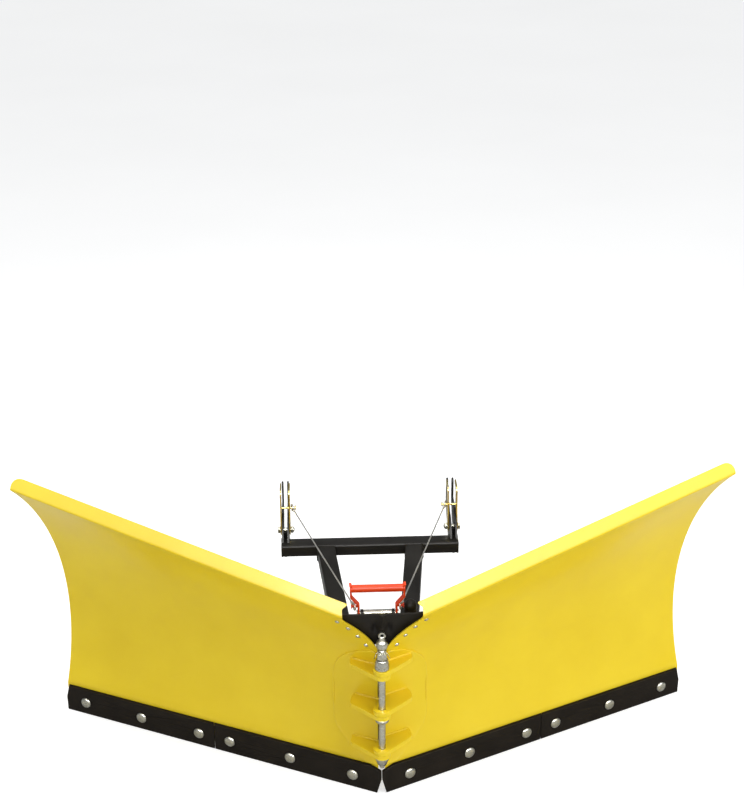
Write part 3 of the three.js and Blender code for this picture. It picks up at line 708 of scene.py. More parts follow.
def outer_end(row, count):
    """The lip's outer corner is cut round."""
    i = row - (count - len(LIP_RUN))
    over = LIP_RUN[i] - (LIP["length"] - LIP["corner"]) if i >= 0 else 0
    if over <= 0:
        return LENGTH
    return LENGTH - LIP["corner"] + sqrt(max(0, LIP["corner"] ** 2 - over ** 2))


# Columns along a wing, a little closer together near the hinge.
COLUMNS = 34
CROWDING = 1.15
rows = len(section(400))
cut_lines = {offset: [where_cut(row, offset) for row in range(rows)] for offset in (0, SHEET)}
print("rows", rows, "inner cut from", round(min(cut_lines[0])), "to", round(max(cut_lines[0])))


# %% Moldboards
def moldboard(side):
    """Front and back grids, joined round the rim."""
    place = wing_place(side)
    bm = bmesh.new()
    grids = []
    for offset in (0, SHEET):
        grid = []
        for row in range(rows):
            inner, outer = cut_lines[offset][row], outer_end(row, rows)
            stations = [inner + (outer - inner) * (j / COLUMNS) ** CROWDING
                        for j in range(COLUMNS + 1)]
            grid.append([place(s, *section(s, offset)[row]) for s in stations])
        grids.append(grid)
    two_grids(bm, grids)
    return piece(f"{side}_wing_sheet", bm, f"{side}_wing", "yellow_coat",
                 [f"{side}_moldboard"], bevel=0.8, sharp=50)


for side in SIDES:
    print(moldboard(side).name)

# %% [markdown]
# ## Hinge plates
# Round the pin the sheet is doubled with a second plate, and three lugs are welded across
# it. The plate is a grid laid on the roll, a lug is a flat plate with an eye, and a bead
# runs wherever they meet. The left wing's lugs sit under the right wing's.

# %% Doubler plate
DOUBLER = {"thick": 3, "side": 121}
UPPER_EDGE = ((10, 334), (30, 334), (50, 326), (70, 314), (88, 302), (102, 288), (112, 272),
              (118, 254), (121, 232))
LOWER_EDGE = ((10, 65.5), (40, 66), (66, 84), (94, 106), (110, 122), (118, 140), (121, 162))
LUGS = {"right": ((113.6, 122.8), (206.7, 215.9), (299.5, 308.7)),
        "left": ((103.8, 113), (196.9, 206.1), (289.7, 298.9))}
LUG_REACH = 76
EYE = 17
BORE = 7.2


def level(edge, s):
    """Height of one of the doubler's two edges at a distance from the pin."""
    for (s0, z0), (s1, z1) in zip(edge, edge[1:]):
        if s <= s1:
            return z0 + (z1 - z0) * max(0, s - s0) / (s1 - s0)
    return edge[-1][1]


def doubler_edge(side):
    """The path of the bead round the doubler's free edge."""
    place = wing_place(side)
    points = [(18, level(UPPER_EDGE, 18)), *UPPER_EDGE[1:], *LOWER_EDGE[:0:-1],
              (18, level(LOWER_EDGE, 18))]
    return [place(s, roll_depth(s, z) - 1.2, z) for s, z in points]


def doubler(bm, side):
    """A plate that lies on the roll."""
    place = wing_place(side)
    columns, levels = 26, 30
    grids = []
    for offset in (-DOUBLER["thick"], 1):
        grid = []
        for i in range(columns + 1):
            share = 1 - (1 - i / columns) ** 1.7
            guess = 12 + (DOUBLER["side"] - 12) * share
            low, high = level(LOWER_EDGE, guess), level(UPPER_EDGE, guess)
            line = []
            for j in range(levels + 1):
                z = low + (high - low) * j / levels
                inner = (gap_at(z) + roll_depth(12, z, offset) * sin(SWEEP)) / cos(SWEEP)
                s = inner + (DOUBLER["side"] - inner) * share
                line.append(place(s, roll_depth(s, z, offset), z))
            grid.append(line)
        grids.append(grid)
    two_grids(bm, grids)


print("doubler is", round(level(UPPER_EDGE, 20) - level(LOWER_EDGE, 20)), "mm high near the pin")


# %% Lugs
def lug_outline(z):
    """An eye on the pin that widens outward to where it meets the doubler."""
    back = [(s, roll_depth(s, z) - 1.2) for s in range(LUG_REACH, 14, -6)]
    around = arc(0, 0, EYE, 50, 288, 34)
    corner = curve((LUG_REACH - 12, 3), (LUG_REACH - 6, 5), (LUG_REACH - 4, 10), 6)
    return [*around, *corner, (LUG_REACH, 24), *back]


def hinge_plate(side):
    place = wing_place(side)
    bm = bmesh.new()
    doubler(bm, side)
    for low, high in LUGS[side]:
        plate(bm, place, lug_outline((low + high) / 2), low, high, [circle(0, 0, BORE, 40)])
        for z in (low, high):
            bead(bm, [place(s, roll_depth(s, z, -DOUBLER["thick"]) - 0.4, z)
                      for s in range(19, LUG_REACH + 3, 4)], 2.4)
    bead(bm, doubler_edge(side), 2.0)
    return piece(f"{side}_hinge_lugs", bm, f"{side}_wing", "yellow_coat",
                 [f"{side}_hinge_plate"], bevel=1.0, sharp=42)


for side in SIDES:
    print(hinge_plate(side).name)

# %% [markdown]
# ## Behind the wing
# A square tube runs across the back of each sheet with a shaped rib at each end, and an
# index plate with five holes sets the wing's angle. These stiffen the sheet and are seen
# only from above and behind, but the plow is picked up and turned round like any tool.

# %% Stiffeners
BEAM = {"from": 170, "to": 660, "b": 57, "z": 195, "size": 36, "wall": 3}
RIBS = {"inner": 200, "outer": 600}
RIB_THICK = 5


def rib_outline(s):
    """A rib follows the sheet in front and bows out behind to carry the beam."""
    angles = [ROLL["first"] + (ROLL["last"] - ROLL["first"]) * 13 / 14 * i / 40
              for i in range(41)]
    front = [on_roll(s, a, SHEET + 0.3) for a in angles]
    back = [on_roll(s, a, 14 + 48 * sin(pi * i / 40) ** 0.8) for i, a in enumerate(angles)]
    return front + back[::-1]


def wing_back(side):
    """Beam, ribs and index plate of one wing."""
    place = wing_place(side)
    middle = (BEAM["b"] + BEAM["size"] / 2, BEAM["z"] + BEAM["size"] / 2)
    bm = bmesh.new()
    start, end = [place(BEAM[key], *middle) for key in ("from", "to")]
    back = (place(0, 1, 0) - place(0, 0, 0)).normalized()
    square_tube(bm, start, end, back, Vector((0, 0, 1)), (BEAM["size"],) * 2, BEAM["wall"])
    for s in (RIBS["inner"], RIBS["outer"]):
        for edge_s in (s - 0.6, s + RIB_THICK + 0.6):
            corners = [(BEAM["b"], BEAM["z"]), (BEAM["b"], BEAM["z"] + BEAM["size"]),
                       (BEAM["b"] + BEAM["size"], BEAM["z"] + BEAM["size"]),
                       (BEAM["b"] + BEAM["size"], BEAM["z"])]
            for a, b in zip(corners, corners[1:]):
                bead(bm, [place(edge_s, *a), place(edge_s, *b)], 1.8)
    piece(f"{side}_stiffener_tube", bm, f"{side}_wing", "yellow_coat",
          [f"{side}_back_beam"], bevel=0.5)
    for name, s in RIBS.items():
        bm = bmesh.new()
        plate(bm, lambda b, z, w: place(w, b, z), rib_cut(s), s, s + RIB_THICK)
        for edge_s in (s, s + RIB_THICK):
            angles = [ROLL["first"] + 0.06 + (ROLL["last"] - ROLL["first"] - 0.2) * i / 30
                      for i in range(31)]
            bead(bm, [place(edge_s, *on_roll(edge_s, a, SHEET + 0.6)) for a in angles], 2.0)
        piece(f"{side}_{name}_web", bm, f"{side}_wing", "yellow_coat",
              [f"{side}_{name}_rib"], bevel=0.6)


def rib_cut(s):
    """The rib's outline with an open notch for the beam in its back edge."""
    outline = rib_outline(s)
    low_b, high_b = BEAM["b"] - 0.4, BEAM["b"] + BEAM["size"]
    low_z, high_z = BEAM["z"] - 0.4, BEAM["z"] + BEAM["size"] + 0.4
    inside = [low_b < b < high_b and low_z < z < high_z for b, z in outline]
    kept = []
    for i, point in enumerate(outline):
        if inside[i]:
            if not inside[i - 1]:
                kept += [(outline[i - 1][0], high_z), (low_b, high_z), (low_b, low_z)]
            continue
        if inside[i - 1]:
            kept.append((point[0], low_z))
        kept.append(point)
    return kept


for side in SIDES:
    wing_back(side)
    print(side, "stiffeners")

# %% [markdown]
# The five holes of an index plate are the wing's settings, from straight back to forward.
# The plate is one outline with its holes in it, so the bores are open and can be seen through.

# %% Index plates
INDEX = {"radius": 132, "hole": 6.6, "step": 12.5, "first": 30, "rim": 150, "root": 95,
         "thick": 6, "right": 150, "left": 140}


def index_plate(side):
    """A fan with one hole for each setting, held against the back of the sheet."""
    low = INDEX[side]
    place = wing_place(side)
    fan = arc(0, 0, INDEX["rim"], 12, 87, 24) + arc(0, 0, INDEX["root"], 87, 52, 10)
    fan += [(48 + 9.87 * i, 30 + 0.12 * i) for i in range(11)]
    front = roll_depth(90, low + 3, SHEET + 0.4)
    outline = [(s, max(b, front)) for s, b in fan]
    holes = [circle(INDEX["radius"] * cos(radians(INDEX["first"] + i * INDEX["step"])),
                    INDEX["radius"] * sin(radians(INDEX["first"] + i * INDEX["step"])),
                    INDEX["hole"]) for i in range(5)]
    bm = bmesh.new()
    plate(bm, place, outline, low, low + INDEX["thick"], holes)
    for z in (low, low + INDEX["thick"]):
        bead(bm, [place(s, front + 0.5, z) for s in (52, 90, 138)], 2.0)
    piece(f"{side}_angle_plate", bm, f"{side}_wing", "black_coat",
          [f"{side}_index_plate"], bevel=0.6)


for side in SIDES:
    index_plate(side)
    print(side, "index plate")

# %% [markdown]
# ## Cutting edges and their bolts
# Each wing carries two wear bars so that a worn one can be changed alone. Carriage bolts
# with low domed heads hold them, and nuts with washers sit behind. The bars are plates with
# real bolt holes. The outer end's corner is cut, and the inner ends are mitred so that
# they meet on the middle plane under the pin.

# %% Cutting edges
EDGE = {"thick": 8, "height": 62, "split": 384, "face": 8.7, "gap": 0.5}
BOLTS = (67.8, 207.7, 347.6, 420.6, 560.5, 700.4)
BOLT = {"z": 30.3, "head": 12, "rise": 6, "shank": 5}
BARS = {
    "inner": [(14.5, 0), (EDGE["split"] - 0.5, 0), (EDGE["split"] - 0.5, EDGE["height"]),
              (30, EDGE["height"]), (4.5, 53.5), (4.5, 36.5)],
    "outer": [(EDGE["split"] + 0.5, 0), (LENGTH, 0), (LENGTH, 33),
              (LENGTH - 8, EDGE["height"]), (EDGE["split"] + 0.5, EDGE["height"])],
}


def cutting_edge(side, part):
    place = wing_place(side)
    bolts = BOLTS[:3] if part == "inner" else BOLTS[3:]
    holes = [circle(s, BOLT["z"], BOLT["shank"] + 0.4) for s in bolts]
    bm = bmesh.new()

    def mitred(s, z, b):
        return place(max(s, (EDGE["gap"] + b * sin(SWEEP)) / cos(SWEEP)), b, z)

    plate(bm, mitred, BARS[part], EDGE["face"], EDGE["face"] + EDGE["thick"], holes)
    piece(f"{side}_{part}_wear_bar", bm, f"{side}_wing", "edge_steel",
          [f"{side}_{part}_cutting_edge"], bevel=0.9)


def nut(bm, place, corners, inner, low, high):
    """A hexagon nut whose corners are turned down by a cone at both faces."""
    sides = 48
    flat = corners * cos(pi / 6)
    levels = [(low, flat * 0.97), (low + 0.16 * (corners - flat) + 0.5, None),
              (high - 0.16 * (corners - flat) - 0.5, None), (high, flat * 0.97)]

    def across(angle, limit):
        hexagon = flat / cos((angle + pi / 6) % (pi / 3) - pi / 6)
        return min(hexagon, limit) if limit else hexagon

    rings = []
    for i in range(sides):
        a = 2 * pi * i / sides
        outer = [place(across(a, limit) * cos(a), across(a, limit) * sin(a), w)
                 for w, limit in levels]
        inside = [place(inner * cos(a), inner * sin(a), w) for w in (high, low)]
        rings.append(outer + inside)
    skin(bm, rings, True)


def edge_bolt(side, number):
    """Domed head in front, washer and nut behind, and the thread's end past the nut."""
    place = wing_place(side)
    s = BOLTS[number - 1]
    laid = lambda u, v, w: place(s + u, EDGE["face"] - 0.3 - w, BOLT["z"] + v)
    bm = bmesh.new()
    head, rise = BOLT["head"], BOLT["rise"]
    dome = [(head * sin(radians(a)), rise * (0.16 + 0.84 * cos(radians(a))))
            for a in (88, 78, 66, 54, 42, 30, 20, 10, 2)]
    behind = FOOT["b"] + SHEET - EDGE["face"]
    stem = -behind - 14
    turned(bm, laid, [(BOLT["shank"] - 1, stem), (BOLT["shank"], stem + 1), (BOLT["shank"], 0),
                      (head - 0.5, 0), (head, 0.5), *dome], 36)
    washer(bm, laid, BOLT["shank"] + 0.2, 10.4, -behind - 2, -behind - 0.2, 32)
    nut(bm, laid, 9.2, BOLT["shank"] + 0.1, -behind - 10.4, -behind - 2.1)
    piece(f"{side}_carriage_bolt_{number}", bm, f"{side}_wing", "zinc",
          [f"{side}_edge_bolt_{number}"])


for side in SIDES:
    for part in BARS:
        cutting_edge(side, part)
    for number in range(1, 7):
        edge_bolt(side, number)
print("4 wear bars and 12 bolts")

# %% [markdown]
# ## Rubber flap
# The V above the pin is closed by one sheet of black rubber that folds as the wings swing. Here it
# keeps one shape and rides on no body.
# It is made as two halves that share the middle line: there each half follows the carrier,
# and further out it bends over to follow its own wing. Outside the V it lies behind the
# sheet, held by round-headed screws.

# %% Flap
FLAP = {"low": 352, "high": 436, "thick": 5, "foot": 17.5, "lean": 0.33}
SCREWS = ((77.5, 414.5), (60, 397.5), (46, 375.5), (35, 349.5))


def flap_depth(x, z):
    """How far back the rubber's front face lies at a place seen from the front."""
    web = FLAP["foot"] + FLAP["lean"] * (350 - z)
    stiff = 2 + 5 * min(1, max(0, (z - 393) / 10))
    ridge = -stiff * max(0, 1 - abs(x) / 7)
    ridge += 9 * exp(-((abs(x) - 13) / 6) ** 2 - ((z - 401) / 15) ** 2)
    b = 0
    for _ in range(12):
        s = (x + b * sin(SWEEP)) / cos(SWEEP)
        b = roll_depth(s, z, SHEET + 0.5)
    behind = s * sin(SWEEP) + b * cos(SWEEP)
    softness = 3.0
    gap = (web - behind) / softness
    return behind + softness * (gap if gap > 20 else (0.5 * (gap + sqrt(gap * gap + 1)))) + ridge


def rubber_flap(side):
    k = SIDES[side]
    bm = bmesh.new()
    columns, levels = 26, 30
    grids = []
    for offset in (0, FLAP["thick"]):
        grid = []
        for j in range(levels + 1):
            share = j / levels
            base = FLAP["low"] + (FLAP["high"] - FLAP["low"]) * share
            outer = gap_at(min(base, 426)) + 13
            line = []
            for i in range(columns + 1):
                x = outer * i / columns
                lift = 4 * share ** 3 * max(0, (x - 62) / 26) ** 0.7
                z = base + lift
                line.append(at(k * x, flap_depth(x, z) + offset, z))
            grid.append(line)
        grids.append(grid)
    two_grids(bm, grids)
    half = piece(f"{side}_flap_sheet", bm, f"{side}_wing", "rubber",
                 [f"{side}_rubber_flap"], bevel=0, sharp=60, ride=False)
    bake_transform(half)


def flap_screws(side):
    """Four round heads outside the V, with washers under their nuts at the back."""
    place = wing_place(side)
    bm = bmesh.new()
    for s, z in SCREWS:
        radius, b0, z0 = roll_at(s)
        angle = asin((z - z0) / radius)
        b = b0 + radius * cos(angle)
        out = (-cos(angle), -sin(angle))

        def laid(u, v, w):
            return place(s + u, b + out[0] * w - out[1] * v, z + out[1] * w + out[0] * v)

        turned(bm, laid, [(2.2, -11), (2.5, -10.6), (2.5, 0.1), (4.3, 0.1), (4.6, 0.5),
                          (4.3, 1.3), (3.4, 2.1), (1.9, 2.6), (0.3, 2.75)], 24)
        washer(bm, laid, 2.7, 5.4, -9.3, -8.2, 24)
    piece(f"{side}_flap_screws", bm, f"{side}_wing", "zinc")


for side in SIDES:
    rubber_flap(side)
    flap_screws(side)
print("flap in two halves, with", 2 * len(SCREWS), "screws")

# %% [markdown]
# ## The pin and what is on it
# The hinge pin is a long bolt. From the top down it carries a lifting eye, a slotted nut
# with its split pin, the upper clamp block, the lugs of both wings, a loose collar and the
# lower clamp block. All are turned parts, so their profiles tell the whole story.

# %% Hinge pin
PIN = 6.8
axis = upright(0, 0)


def thread(bm, place, radius, low, high, pitch, depth, sides=28):
    """A screw thread: the radius rises and falls as the turn climbs."""
    levels = round((high - low) / pitch * 8)
    rings = []
    for i in range(levels + 1):
        z = low + (high - low) * i / levels
        ring = []
        for j in range(sides):
            a = 2 * pi * j / sides
            phase = (z / pitch - j / sides) % 1
            r = radius - depth * abs(2 * phase - 1)
            r = min(r, radius - 1.2 + 1.2 * min(1, (high - z) / 1.2, (z - low) / 0.6 + 0.4))
            ring.append(place(r * cos(a), r * sin(a), z))
        rings.append(ring)
    skin(bm, rings)


bm = bmesh.new()
bar(bm, axis, PIN, 82.5, 340, 0.5, 40)
thread(bm, axis, PIN - 0.1, 328, 353, 2, 0.9)
turned(bm, axis, [(5, 346), (5.2, 346.5), (5.2, 366.5), (4.6, 367)], 32)
turned(bm, axis, [(4, 75), (4.8, 75.8), (5, 76.6), (5, 84)], 32)
piece("long_pin", bm, "trip_carrier", "zinc", ["hinge_pin"])
print("pin and thread")

# %% [markdown]
# Two turned blocks tie the pin to the carrier, one above the lugs and one below, each by a
# short tongue. The collar between the lugs is loose. A profile that closes on itself and
# stays clear of the axis gives a bored ring in one go, with no cut to clean up after.

# %% Clamp blocks and collar
bm = bmesh.new()
bored(bm, axis, [(7.1, 84), (8.4, 84), (9.2, 84.6), (13.6, 98), (14, 99.6), (14, 102.8),
                 (13.5, 103.4), (7.1, 103.4)])
plate(bm, side_on(), [(9, 88), (20.2, 88), (20.2, 103), (9, 103)], -5, 5)
piece("lower_clamp", bm, "trip_carrier", "zinc", ["lower_pin_block"])
bm = bmesh.new()
bored(bm, axis, [(7.1, 309.1), (13.2, 309.1), (14, 309.9), (14, 314.6), (13.3, 315.6),
                 (13.3, 317.2), (13.9, 318.2), (13.4, 321), (12.3, 325.4), (11.6, 329.2),
                 (10.8, 330), (7.1, 330)])
plate(bm, side_on(), [(9, 310), (20.2, 310), (20.2, 329), (9, 329)], -5, 5)
piece("upper_clamp", bm, "trip_carrier", "zinc", ["upper_pin_block"])
bm = bmesh.new()
bored(bm, axis, [(7.1, 185), (10.4, 185), (11.2, 185.5), (13.6, 188.4), (14, 189.3),
                 (14, 193.4), (13.4, 194), (7.1, 194)])
piece("loose_collar", bm, "trip_carrier", "zinc", ["pin_collar"])
print("two clamps and a collar")

# %% [markdown]
# A slotted nut can't work loose, because a split pin goes through it and the bolt. The nut's
# crown is six teeth, and they could be cut out of a ring. Standing six small plates on
# the nut gives the same slots with cleaner corners. The split pin is one bent wire.

# %% Slotted nut and split pin
SLOTTED = {"low": 330.5, "shoulder": 343, "top": 351, "crown": 9}


def slotted_crown(bm):
    """Six teeth that stand up from the nut, one between each pair of slots."""
    for i in range(6):
        middle = 60 * i + 30
        spread = 21
        outside = arc(0, 0, SLOTTED["crown"], middle - spread, middle + spread, 6)
        inside = arc(0, 0, 7.3, middle + spread - 3, middle - spread + 3, 5)
        plate(bm, axis, outside + inside, SLOTTED["shoulder"] - 0.5, SLOTTED["top"])


bm = bmesh.new()
nut(bm, axis, 10.4, 7.2, SLOTTED["low"], SLOTTED["shoulder"])
slotted_crown(bm)
piece("slotted_nut", bm, "trip_carrier", "zinc", ["castle_nut"], bevel=0.3)
bm = bmesh.new()
loop_end = [at(0, -9, 347.5), at(1.6, -11, 347.8), at(3, -13.4, 347.5), at(1.4, -15.4, 347),
            at(-1.4, -15.4, 347), at(-3, -13.4, 346.6), at(-1.6, -11, 346.6),
            at(0, -9, 346.8), at(0, -6, 346.8)]
sweep(bm, spaced(loop_end, 0.7), 0.8, 8)
for k in (1, -1):
    leg_points = [at(0.8 * k, 7, 347), at(1.4 * k, 10, 346.6), at(5 * k, 11.6, 343),
                  at(10 * k, 9.4, 337), at(13.6 * k, 4, 332.5), at(15.4 * k, 0, 331)]
    sweep(bm, spaced(leg_points, 0.8), 0.8, 8)
piece("split_pin", bm, "trip_carrier", "zinc")
print("slotted nut and split pin")

# %% [markdown]
# The eye is a turned nut with a ring on top, where a hoist or a storage hook can hold the
# plow. Both are profiles turned about an axis: the ring's axis lies level.

# %% Lifting eye
bm = bmesh.new()
bored(bm, axis, [(5.5, 354), (8.8, 354), (9.8, 355), (10.9, 358), (11.3, 361), (11.3, 364.6),
                 (10.9, 367), (9.6, 370), (7.6, 372.6), (6, 374), (5.5, 374.4)])
ring = [(3.1, -2.4), (4.4, -3.4), (6.6, -3.3), (7.5, -2.1), (7.8, 0), (7.5, 2.1), (6.6, 3.3),
        (4.4, 3.4), (3.1, 2.4), (2.6, 0)]
bored(bm, lambda u, v, w: at(u, w, 383.6 + v), ring, 40)
turned(bm, axis, [(6.6, 371.6), (5.8, 374), (5.2, 376), (5.4, 378), (4.6, 379.6)], 32)
piece("lifting_eye", bm, "trip_carrier", "zinc", ["eye_nut"])
print("lifting eye")

# %% [markdown]
# ## Trip carrier
# When an edge hits a kerb the whole blade tips forward on a pivot near the ground, and two
# springs pull it back. The carrier is a heavy upright fin, a cross boss on the pivot, a
# shelf that guides the lock pins and a bar for the springs.

# %% Carrier
FIN = {"thick": 10, "front": 20.5, "back": 122, "bottom": 74, "top": 333}
TRIP = {"y": 88, "z": 98, "pin": 8, "boss": 15, "half": 34}
LOCK = {"angle": radians(55), "pin": 6, "shelf": 166, "top": 215}
lock_x = INDEX["radius"] * cos(LOCK["angle"])
lock_y = INDEX["radius"] * sin(LOCK["angle"])
SPRING = {"x": 17.2, "front": (100, 285), "rear": (198, 240), "coil": 10, "wire": 3}

bm = bmesh.new()
fin = [(FIN["front"], FIN["bottom"]), *arc(114, 82, 8, -90, 0, 5), (FIN["back"], 134), (96, 134),
       *arc(96, 138, 4, 270, 180, 4), *arc(96, 158, 4, 180, 90, 4), (FIN["back"], 162),
       (FIN["back"], 250), *curve((FIN["back"], 262), (118, 306), (84, 326), 8),
       (72, FIN["top"]), (FIN["front"], FIN["top"])]
plate(bm, side_on(), fin, -5, 5)
shelf = [(12, 70), (60, 91), *arc(86, 100, 10, -30, 40, 5), (92, 118), (62, 132)]
shelf += [(-x, y) for x, y in reversed(shelf)]
plate(bm, at, shelf, LOCK["shelf"], LOCK["shelf"] + 6,
      [circle(k * lock_x, lock_y, LOCK["pin"] + 0.4) for k in (1, -1)])
bored(bm, crosswise(TRIP["y"], TRIP["z"]), [
    (TRIP["pin"] + 0.4, -TRIP["half"]), (TRIP["boss"] - 1, -TRIP["half"]),
    (TRIP["boss"], 1 - TRIP["half"]), (TRIP["boss"], TRIP["half"] - 1),
    (TRIP["boss"] - 1, TRIP["half"]), (TRIP["pin"] + 0.4, TRIP["half"])])
bar(bm, crosswise(*SPRING["front"]), 6, -32, 32)
for k in (1, -1):
    bored(bm, upright(k * lock_x, lock_y), [
        (LOCK["pin"] + 0.4, LOCK["shelf"]), (10.5, LOCK["shelf"]), (10.5, LOCK["top"] - 1),
        (9.7, LOCK["top"]), (LOCK["pin"] + 0.4, LOCK["top"])], 32)
    bead(bm, [at(k * 5.3, y, LOCK["shelf"] + 6.3) for y in (74, 128)], 2.4)
    bead(bm, [at(k * 5.3, y, LOCK["shelf"] - 0.3) for y in (74, 128)], 2.4)
    bead(bm, [at(k * 5.5, TRIP["y"] + 15.4 * cos(a), TRIP["z"] + 15.4 * sin(a))
              for a in [radians(d) for d in range(-130, 140, 10)]], 2.2)
    bead(bm, [at(k * lock_x + 11 * cos(a), lock_y + 11 * sin(a), LOCK["shelf"] + 6.2)
              for a in [radians(d) for d in range(0, 361, 15)]], 1.8)
piece("trip_carrier_frame", bm, "trip_carrier", "black_coat", ["carrier"], bevel=0.8)
print("carrier")

# %% [markdown]
# A lock pin drops through the shelf into one of the five holes of its wing's index plate.
# It has a knob to pull it up by and a spring that pushes it down. The spring is a wire
# swept along a helix, which is quick to make and has a real gap between its turns.

# %% Lock pins
for side, k in SIDES.items():
    place = upright(k * lock_x, lock_y)
    tip = INDEX[side] + INDEX["thick"] + 3
    bm = bmesh.new()
    turned(bm, place, [(3.2, tip), (4.5, tip + 1.2), (5.9, tip + 4), (6, 236), (8, 236),
                       (12.4, 237.4), (13.6, 240), (14, 244), (13.2, 248), (11, 251.4),
                       (7, 253.4), (0.5, 254)], 36)
    turns = [place(8.2 * cos(a), 8.2 * sin(a), LOCK["top"] + 1.4 + 18.4 * a / (10 * pi))
             for a in [2 * pi * i / 14 for i in range(5 * 14 + 1)]]
    sweep(bm, turns, 0.8, 7)
    piece(f"{side}_plunger", bm, f"{side}_lock", "zinc", [f"{side}_lock_pin"])
print("two lock pins with springs")

# %% [markdown]
# ## Return springs
# Each spring is a close coil with a hook at both ends. It belongs to two bodies at once: the rear
# hook is on the frame and the front hook is on the carrier. It is built where it stands and rides
# on neither.


# %% Return springs
def return_spring(side):
    k = SIDES[side]
    (y0, z0), (y1, z1) = SPRING["front"], SPRING["rear"]
    length = sqrt((y1 - y0) ** 2 + (z1 - z0) ** 2)
    along = ((y1 - y0) / length, (z1 - z0) / length)
    middle = SPRING["coil"] - SPRING["wire"] / 2 - 0.1
    turns, per = 19, 14
    first, last = 16, length - 16

    def spot(across, lift, run):
        return at(k * (SPRING["x"] + across), y0 + along[0] * run - along[1] * lift,
                  z0 + along[1] * run + along[0] * lift)

    coil = [spot(middle * cos(a), middle * sin(a), first + (last - first) * i / (turns * per))
            for i, a in [(i, 2 * pi * i / per) for i in range(turns * per + 1)]]
    nose = [spot(7.4 * sin(a), 0, 7.4 - 7.4 * cos(a) - 8.6) for a in
            [radians(d) for d in range(-160, 91, 15)]]
    tail = [spot(7.4 * sin(a), 0, length + 7.8 * cos(a) + 1.2) for a in
            [radians(d) for d in range(90, -161, -15)]]
    bm = bmesh.new()
    sweep(bm, nose + coil + tail, SPRING["wire"] / 2, 8)
    spring = piece(f"{side}_pull_spring", bm, "push_frame", "spring_steel",
                   [f"{side}_return_spring"], ride=False)
    at(0, y0, z0)
    at(0, y1, z1)
    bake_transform(spring)


for side in SIDES:
    return_spring(side)
print("two return springs")

# %% [markdown]
# ## Push frame
# A welded frame of square tube carries the push from the vehicle to the pivot: a cross
# tube at the rear, two legs that lean together, and a front head with cheeks for the pivot
# pin and ears for the lift bar. Real tube has round corners and a seam of weld at each end.

# %% Cross tube
TUBE = {"half": 206, "y": 602, "z": 234, "deep": 40, "high": 30, "wall": 3}
LATCH_X = 196

bm = bmesh.new()
square_tube(bm, at(-TUBE["half"] + 2.2, TUBE["y"], TUBE["z"]),
            at(TUBE["half"] - 2.2, TUBE["y"], TUBE["z"]), Vector((0, 1, 0)), Vector((0, 0, 1)),
            (TUBE["deep"] - 1, TUBE["high"] - 1), TUBE["wall"], 5)
for k in (1, -1):
    cap = round_box(TUBE["y"], TUBE["z"], TUBE["deep"] / 2, TUBE["high"] / 2, 4)
    plate(bm, side_on(k), cap, TUBE["half"] - 4, TUBE["half"])
    turned(bm, upright(k * LATCH_X, TUBE["y"]),
           [(3, 211), (4.6, 212), (5.2, 214), (6, 215.2), (6, 220)], 28)
    washer(bm, upright(k * LATCH_X, TUBE["y"]), 5, 9.5, 216.2, 218.8, 28)
piece("rear_cross_tube", bm, "push_frame", "black_coat", ["cross_tube"], bevel=0.5)
print("cross tube with end caps and pegs")

# %% [markdown]
# The legs lean together toward the front. A leg could be a box turned into place, but its
# ends would not sit flat on their neighbours. So each ring of points is slid along the
# leg until it lies in the plane that the real tube was sawn to.

# %% Legs
LEG = {"size": 40, "wall": 3, "rear": (103, 590, 229), "front": (62, 215, 186)}
HEAD = {"half": 85, "front": 185, "back": 215, "bottom": 150, "top": 215, "wall": 4}


def frame_leg(side):
    """A tube whose ends are cut square to the pieces that they are welded to."""
    k = SIDES[side]
    rear, front = Vector(LEG["rear"]), Vector(LEG["front"])
    along = (rear - front).normalized()
    across = along.cross(Vector((0, 0, 1))).normalized()
    up = across.cross(along)
    front_y, rear_y = HEAD["back"] + 0.3, TUBE["y"] - TUBE["deep"] / 2 - 0.3
    rings = []
    for y, shrink in ((front_y, 0), (rear_y, 0), (rear_y, LEG["wall"]), (front_y, LEG["wall"])):
        half = LEG["size"] / 2 - shrink
        ring = []
        for a, b in round_box(0, 0, half, half, max(1.5, 5 - shrink)):
            start = front + across * a + up * b
            point = start + along * (y - start.y) / along.y
            ring.append(at(k * point.x, point.y, point.z))
        rings.append(ring)
    bm = bmesh.new()
    skin(bm, rings, True)
    for ring, shift in ((rings[0], 0.6), (rings[1], -0.6)):
        line = [p + Vector((0, shift * MM, 0)) for p in ring]
        bead(bm, line + line[:1], 2.3)
    piece(f"{side}_leg_tube", bm, "push_frame", "black_coat", [f"{side}_frame_leg"], bevel=0.4)


for side in SIDES:
    frame_leg(side)
print("two legs")

# %% [markdown]
# The head is a short tube that carries everything at the front: two cheeks hold the pivot
# pin and two ears hold the lift bar. Each cheek and ear is a cut plate with a real hole,
# welded on both sides.

# %% Front head
LIFT = {"y": 190, "z": 313, "radius": 7}
EAR = {"x": 29, "thick": 6}
CHEEK = {"inner": 36.5, "thick": 8}

